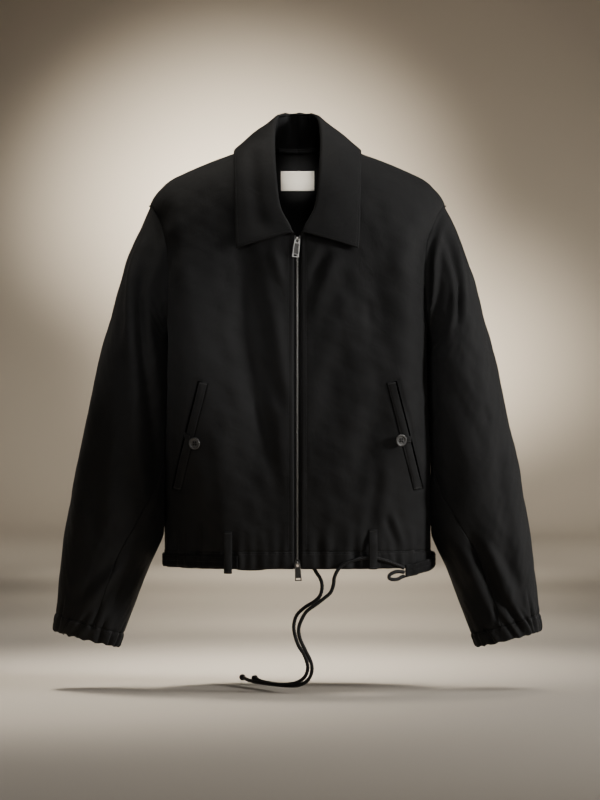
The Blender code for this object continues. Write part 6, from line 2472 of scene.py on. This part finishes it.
@dataclass
class Pocket:
    """A slanted welt, a small tab across it and the four-hole button that holds the tab."""

    name: str
    side: int
    button: tuple[float, float]
    tab_end: tuple[float, float]
    welt_lift: float = 0.0015
    welt_crown: float = 0.0004
    tab_start: float = 0.004
    tab_lift: float = 0.0036
    button_lift: float = 0.0052
    tab_width: float = 0.01
    radius: float = 0.00875
    thick: float = 0.0028
    hole: float = 0.0014
    spread: float = 0.0024
    rim: int = 48
    floor: float = 0.42
    stitch_in: float = 0.0018
    welt_width: float = 0.0137
    welt_cut: Cut = Cut(0.029, 0.166, 0.0031)
    tab_cut: Cut = Cut(0.02, 0.022, 0.0003)

    def build(self) -> None:
        """Makes the welt, the tab and the button."""
        self.build_welt()
        self.build_tab()
        self.build_button()

    def welt(self, across: Array, up: Array, lift: float) -> Array:
        """Points on the welt: across from its inner edge, up from its lower end.

        Args:
            across: 0 to 1 across it.
            up: 0 to 1 up it.
            lift: distance above the cloth.

        Returns:
            Points.
        """
        (low_in, low_out), (top_in, top_out) = WELT_LOW, WELT_TOP
        x, z = ((low_in[axis] + (low_out[axis] - low_in[axis]) * across) * (1 - up)
                + (top_in[axis] + (top_out[axis] - top_in[axis]) * across) * up for axis in (0, 1))
        return FORM.on_face(self.side, Face.FRONT, x, z, lift)

    def build_welt(self) -> None:
        """The welt with a row of stitches along both edges and a bar at each end."""
        def place(across: Array, up: Array) -> Array:
            """Points of the welt's face, a little fuller along its middle."""
            return self.welt(across, up, self.welt_lift + self.welt_crown * np.sin(math.pi * across))
        rolls = rolled(Edge, 0.0008, 0.0009) + rolled(ENDS, 0.0003, 0.0008, 0.0001, self.stitch_in)
        piece = cloth(f"pocket_welt_{self.name}_cloth", 16, 130, place, 0.0018, rolls, flip=self.side < 0)
        settle(piece, "shell_cloth", [f"pocket_welt_{self.name}"])
        stitches = Stitching(f"pocket_welt_{self.name}_stitches", 0.0031, 0.0023)
        up = np.linspace(0.008, 0.992, 260)
        inset = self.stitch_in / self.welt_width
        for across in (inset, 1 - inset):
            stitches.row(self.welt(np.full_like(up, across), up, self.welt_lift + 0.0001))

        def welt_shade(across: Array, up: Array) -> Array:
            """Points of a near-black strip round the welt, widest along its opening: painted shade for the gap of the
            opening and for the seam line at the welt's inner edge.

            Args:
                across: 0 to 1 across it.
                up: 0 to 1 up it.

            Returns:
                Points.
            """
            wide, high = -0.025 + 1.13 * across, 0.002 + 0.996 * up
            points = self.welt(wide, high, 0.0)
            groove = FORM.welt_groove(np.abs(points[..., 0]), points[..., 2])
            return self.welt(wide, high, groove + 0.0003)
        # painted shade: a near-black sheet in the groove round the welt
        dark = cloth(f"pocket_mouth_{self.name}", 12, 110, welt_shade, 0.0006, flip=self.side < 0)
        settle(dark, "pocket_bag", slot="shell_cloth")
        for end in (0.018, 0.982):
            across = np.linspace(0.06, 0.94, 24)
            stitches.bar(self.welt(across, np.full_like(across, end), self.welt_lift + 0.0002), (0.22, 0.0, 1.0))
        lay_out(self.welt_cut, [f"front_{self.name}_cloth"], [stitches.finish()])

    def tab_place(self, across: Array, up: Array, lift: Array | float) -> Array:
        """Points on the tab: across from beside the button to its outer end.

        Args:
            across: 0 to 1 across it.
            up: 0 to 1 up it.
            lift: distance above the cloth.

        Returns:
            Points.
        """
        x = self.button[0] - self.tab_start + (self.tab_end[0] - self.button[0] + self.tab_start) * across
        z = self.button[1] + (self.tab_end[1] - self.button[1]) * across + self.tab_width * (up - 0.5)
        return FORM.on_face(self.side, Face.FRONT, x, z, lift)

    def build_tab(self) -> None:
        """The tab, with stitches along both sides."""
        def place(across: Array, up: Array) -> Array:
            """Points of the tab's face."""
            return self.tab_place(across, up, self.tab_lift)
        piece = cloth(f"pocket_tab_{self.name}_cloth", 30, 22, place, 0.0012, rolled(Edge, 0.0006, 0.0008),
                      flip=self.side < 0)
        settle(piece, "shell_cloth", [f"pocket_tab_{self.name}"])
        stitches = Stitching(f"pocket_tab_{self.name}_stitches", 0.0026, 0.0019, 0.00024)
        across = np.linspace(0.06, 0.94, 60)
        for up in (0.16, 0.84):
            stitches.row(self.tab_place(across, np.full_like(across, up), self.tab_lift + 0.00005))
        up = np.linspace(0.16, 0.84, 40)
        stitches.row(self.tab_place(np.full_like(up, 0.9), up, self.tab_lift + 0.00005))
        lay_out(self.tab_cut, [f"pocket_welt_{self.name}_cloth"], [stitches.finish()])

    def build_button(self) -> None:
        """The turned button with its four holes and its crossed thread."""
        floor = self.floor * self.thick
        builder = bmesh.new()
        outlines = [circle(0.0, 0.0, BUTTON_PROFILE[0][0] * self.radius, self.rim)]
        outlines += [circle(self.spread * math.cos(angle), self.spread * math.sin(angle), self.hole, 14)
                     for angle in QUARTERS]
        loops = []
        for outline in outlines:
            ring = [builder.verts.new((x, y, floor)) for x, y in outline]
            loops.append([builder.edges.new(pair) for pair in zip(ring, ring[1:] + ring[:1])])
        bmesh.ops.triangle_fill(builder, edges=sum(loops, []), use_beauty=True, normal=(0, 0, 1))
        for loop in loops[1:]:
            grown = bmesh.ops.extrude_edge_only(builder, edges=loop)
            bmesh.ops.translate(builder, verts=grown_verts(grown), vec=(0, 0, -0.36 * self.thick))
        turned = bmesh.new()
        turn_round(turned, [(r * self.radius, h * self.thick) for r, h in BUTTON_PROFILE], self.rim)
        merge_in(builder, turned)
        bmesh.ops.remove_doubles(builder, verts=builder.verts, dist=1e-5)
        x, z = (np.array(value) for value in self.button)
        centre = FORM.on_face(self.side, Face.FRONT, x, z, self.button_lift)
        height = FORM.height_at(x, z)
        normal = FORM.normal(self.side, FORM.turn_at(x, height, Face.FRONT), height)
        place = facing(centre, normal, "Z", "Y")
        bmesh.ops.transform(builder, matrix=place, verts=builder.verts)
        horn = add_piece(f"button_{self.name}_horn", builder, 50.0, recalculate=True)
        settle(horn, "button_horn", [f"button_{self.name}"])
        self.wells(place, floor)
        self.thread(place, floor)

    def wells(self, place: Matrix, floor: float) -> None:
        """Painted shade: a near-black disc down in each of the four holes.

        Args:
            place: where the button is and how it is turned.
            floor: height of its sunk middle above its back.
        """
        dark = bmesh.new()
        for angle in QUARTERS:
            centre = place @ Matrix.Rotation(angle, 4, "Z") @ Matrix.Translation((self.spread, 0, floor - 0.00018))
            bmesh.ops.create_cone(dark, cap_ends=True, segments=16, radius1=self.hole + 0.0001,
                                  radius2=self.hole + 0.0001, depth=0.0002, matrix=centre)
        # painted shade in the button's holes
        settle(add_piece(f"button_{self.name}_wells", dark, 40.0), "pocket_bag", slot="button_horn")

    def thread(self, place: Matrix, floor: float) -> None:
        """Two crossed strands over the button's floor and the shank under it.

        Args:
            place: where the button is and how it is turned.
            floor: height of its sunk middle above its back.
        """
        stitches = Stitching(f"button_{self.name}_thread", radius=0.00026)
        for angle in QUARTERS[:2]:
            for shift in (-0.00022, 0.00022):
                strand = Matrix.Rotation(angle, 4, "Z") @ Matrix.Translation((0, shift, floor + 0.00012))
                stitches.strand(place @ strand, 2 * self.spread + 0.0009)
        shank = place @ Matrix.Translation((0, 0, -0.0006)) @ Matrix.Rotation(math.pi / 2, 4, "Y")
        stitches.strand(shank, 0.003, 0.0012)
        stitches.finish()


POCKETS = (Pocket("left", LEFT, (0.1514, -0.4341), (0.1677, -0.4326)),
           Pocket("right", RIGHT, (0.15, -0.4386), (0.1665, -0.4267)))


# ---------- belt and loops
class LoopPlace(NamedTuple):
    """Where a belt loop sits, as its side, face, middle, width, ends and how far it stands off."""

    side: int
    face: Face
    x: float
    width: float
    top: float
    low: float
    stand: float


BELT_WIDTH = 0.0182
# bearings in degrees from the front, round by the right
BELT_START, BELT_END = 20.5, 313
BELT_LEAVES = (262, 272)             # where it lifts off the casing
BELT_LINES = Table(
    "bearing middle lift", (BELT_START, -0.6123, 0.0006), (60, -0.6125, 0.0006), (90, -0.613, 0.001),
    (130, -0.6125, 0.0006), (180, -0.612, 0.0006), (230, -0.612, 0.0006), (255, -0.6115, 0.002),
    (270, -0.6125, 0.005), (290, -0.619, 0.005), (BELT_END, -0.6273, 0.004))
LOOPS = {
    "front_right": LoopPlace(RIGHT, Face.FRONT, 0.102, 0.0122, -0.568, -0.6298, 0.0046),
    "front_left": LoopPlace(LEFT, Face.FRONT, 0.1112, 0.0124, -0.565, -0.6235, 0.0072),
    "back_right": LoopPlace(RIGHT, Face.BACK, 0.1, 0.0122, -0.567, -0.627, 0.0046),
    "back_left": LoopPlace(LEFT, Face.BACK, 0.1, 0.0122, -0.567, -0.627, 0.0046),
}


@dataclass
class HemBelt:
    """The flat belt round the hem and the four loops over it."""

    width: float = BELT_WIDTH
    thick: float = 0.003
    stitch_in: float = 0.0022
    loop_stitch_in: float = 0.0018
    loop_lift: float = 0.0022
    belt_cut: Cut = Cut(0.0185, 0.92, 0.0168)
    loop_cut: Cut = Cut(0.011, 0.072, 0.0007)

    def strap(self, across: Array, up: Array, lift: float = 0.0) -> Array:
        """Points of the belt's outer face, from its end at the right front round the back.

        Args:
            across: 0 to 1 across it.
            up: 0 to 1 up it.
            lift: distance above the cloth.

        Returns:
            Points.
        """
        bearing = BELT_START + (BELT_END - BELT_START) * across
        middle, off = BELT_LINES.middle(bearing), BELT_LINES.lift(bearing)
        side, turn = np.where(bearing <= 180, RIGHT, LEFT), np.where(bearing <= 180, bearing, 360 - bearing)
        points = FORM.place(side, turn, middle, off + self.thick + lift)
        points[..., 2] = middle + self.width * (up - 0.5)
        return points

    def build(self) -> None:
        """Makes the belt with three rows of stitches, then the loops."""
        rolls = rolled(Edge, 0.0009, 0.0011) + rolled(Edge, 0.00034, 0.0009, 0.0001, self.stitch_in)
        rolls += (Roll(Edge.BOTTOM, 0.0004, 0.001, 0.0001, self.width / 2),)
        belt = cloth("hem_belt_strap", 330, 18, self.strap, 0.0028, rolls, flip=True)
        # painted shade: the strap gets a darker copy of the belt twill
        settle(belt, "strap_cloth", ["hem_belt"], slot="belt_cloth")
        stitches = Stitching("hem_belt_stitches", 0.004, 0.003)
        across = np.linspace(0.003, 0.997, 900)
        inset = self.stitch_in / self.width
        for up in (inset, 0.5, 1 - inset):
            stitches.row(self.strap(across, np.full_like(across, up), 0.00005))
        lay_out(self.belt_cut, [f"belt_loop_{name}_cloth" for name in LOOPS],
                [stitches.finish(slot="belt_cloth")])
        for name, loop in LOOPS.items():
            self.loop(name, loop)

    def loop(self, name: str, loop: LoopPlace) -> None:
        """One loop, tacked at its ends.

        Args:
            name: its name.
            loop: where it sits.
        """
        def place(across: Array, up: Array, lift: float = 0.0) -> Array:
            """Points of the loop's face.

            Args:
                across: 0 to 1 across it.
                up: 0 to 1 up it.
                lift: distance above the cloth.

            Returns:
                Points.
            """
            stand = loop.stand * fade(1 - up, 0.02, 0.45) * fade(up, -0.35, 0.12)
            x, z = loop.x + loop.width * (across - 0.5), loop.low + (loop.top - loop.low) * up
            return FORM.on_face(loop.side, loop.face, x, z, self.loop_lift + stand + lift)
        rolls = rolled(Edge, 0.0007, 0.0009) + rolled(ENDS, 0.00025, 0.0008, line=self.loop_stitch_in)
        flip = (loop.side < 0) != (loop.face is Face.BACK)
        piece = cloth(f"belt_loop_{name}_cloth", 14, 44, place, 0.0016, rolls, flip=flip)
        # painted highlight: the loops get a lighter copy of the shell twill
        settle(piece, "belt_cloth", [f"belt_loop_{name}"])
        stitches = Stitching(f"belt_loop_{name}_stitches", 0.003, 0.0022, 0.00025)
        up = np.linspace(0.03, 0.97, 120)
        inset = self.loop_stitch_in / loop.width
        for across in (inset, 1 - inset):
            stitches.row(place(np.full_like(up, across), up, 0.00005))
        across = np.linspace(0.1, 0.9, 20)
        for end in (0.955, 0.045):
            stitches.bar(place(across, np.full_like(across, end), 0.0001), (0.0, 0.0, 1.0))
        lay_out(self.loop_cut, ["front_left_cloth", "front_right_cloth", "back_cloth"],
                [stitches.finish(slot="belt_cloth")])


# ---------- neck label and hanger
@dataclass
class NeckTrims:
    """The blank woven label and the hanger loop at the back neck."""

    half_width: float = 0.0255
    label_in: float = 0.0037
    label_wave: float = 0.00025
    hanger_slack: float = 0.002
    hanger_half: float = 0.028
    hanger_height: float = 0.0062
    hanger_in: float = 0.0048
    top: float = -0.0272
    low: float = -0.056
    label_cut: Cut = Cut(0.0522, 0.031, 0.0016)
    hanger_cut: Cut = Cut(0.016, 0.06, 0.00048)

    def label(self, across: Array, up: Array, lift: Array | float = 0.0) -> Array:
        """Points of the label's face.

        Args:
            across: 0 to 1 across it.
            up: 0 to 1 up it.
            lift: distance above the cloth.

        Returns:
            Points.
        """
        x = self.half_width * (2 * across - 1)
        z = self.low + (self.top - self.low) * up
        side = np.where(x >= 0, LEFT, RIGHT)
        return FORM.on_face(side, Face.BACK, np.abs(x), z, -self.label_in - lift)

    def hanger(self, across: Array, up: Array) -> Array:
        """Points of the hanger loop, held at its ends and a little slack.

        Args:
            across: 0 to 1 across it.
            up: 0 to 1 up it.

        Returns:
            Points.
        """
        part = NECK_TURN + (1 - NECK_TURN) * (1 - 0.42 * np.abs(2 * across - 1))
        turn, height = FORM.neck(BACK_NECK, (part - NECK_TURN) / (1 - NECK_TURN), Face.BACK)
        seam = FORM.place(LEFT, turn, height)
        slack = self.hanger_slack * np.cos(math.pi * (across - 0.5))
        level = 0.35 * (seam[..., 2] - seam[..., 2].max()) + seam[..., 2].max()
        return stack(self.hanger_half * (2 * across - 1), seam[..., 1] - self.hanger_in - slack,
                     level + self.hanger_height * (up - 0.5))

    def build(self) -> None:
        """Makes both pieces with their stitches."""
        waves = Ripple("label", 0.015, 0.035, 0.6, 8)

        def label(across: Array, up: Array) -> Array:
            """Points of the label, very slightly wavy."""
            return self.label(across, up, self.label_wave * waves(across * 0.052, up * 0.03))
        rolls = rolled(Edge, 0.0005, 0.0008) + rolled(Edge, 0.0002, 0.0007, line=0.0016)
        piece = cloth("neck_label_satin", 60, 36, label, 0.0009, rolls)
        settle(piece, "label_satin", ["neck_label"])
        stitches = Stitching("neck_label_stitches", 0.0027, 0.0019, 0.0002)
        row, ends = np.linspace(0.03, 0.97, 120), (0.052, 0.948)
        for up in ends:
            stitches.row(self.label(row, np.full_like(row, up), 0.00005))
        for across in (0.031, 0.969):
            stitches.row(self.label(np.full_like(row, across), 0.05 + 0.9 * row, 0.00005))
        lay_out(self.label_cut, ["back_cloth"], [stitches.finish("label_satin", "label_satin")])
        rolls = rolled((Edge.TOP, Edge.BOTTOM), 0.0005, 0.0009) + (Roll(Edge.BOTTOM, 0.0003, 0.001, line=0.004),)
        piece = cloth("hanger_loop_cloth", 60, 12, self.hanger, 0.001, rolls)
        settle(piece, "shell_cloth", ["hanger_loop"])
        lay_out(self.hanger_cut, ["collar_stand_cloth"])


def main() -> None:
    """Builds the jacket's sub-assemblies in order."""
    logging.basicConfig(level=logging.INFO, format="%(name)s %(message)s")
    for assembly in (Studio(), BodyPanels(), HemCasing(), Sleeves(), Cuffs(), Collar(), FrontZip(), *POCKETS,
                     HemBelt(), NeckTrims(), Drawcord()):
        log.info("building %s", type(assembly).__name__)
        assembly.build()


if __name__ == "__main__":
    main()
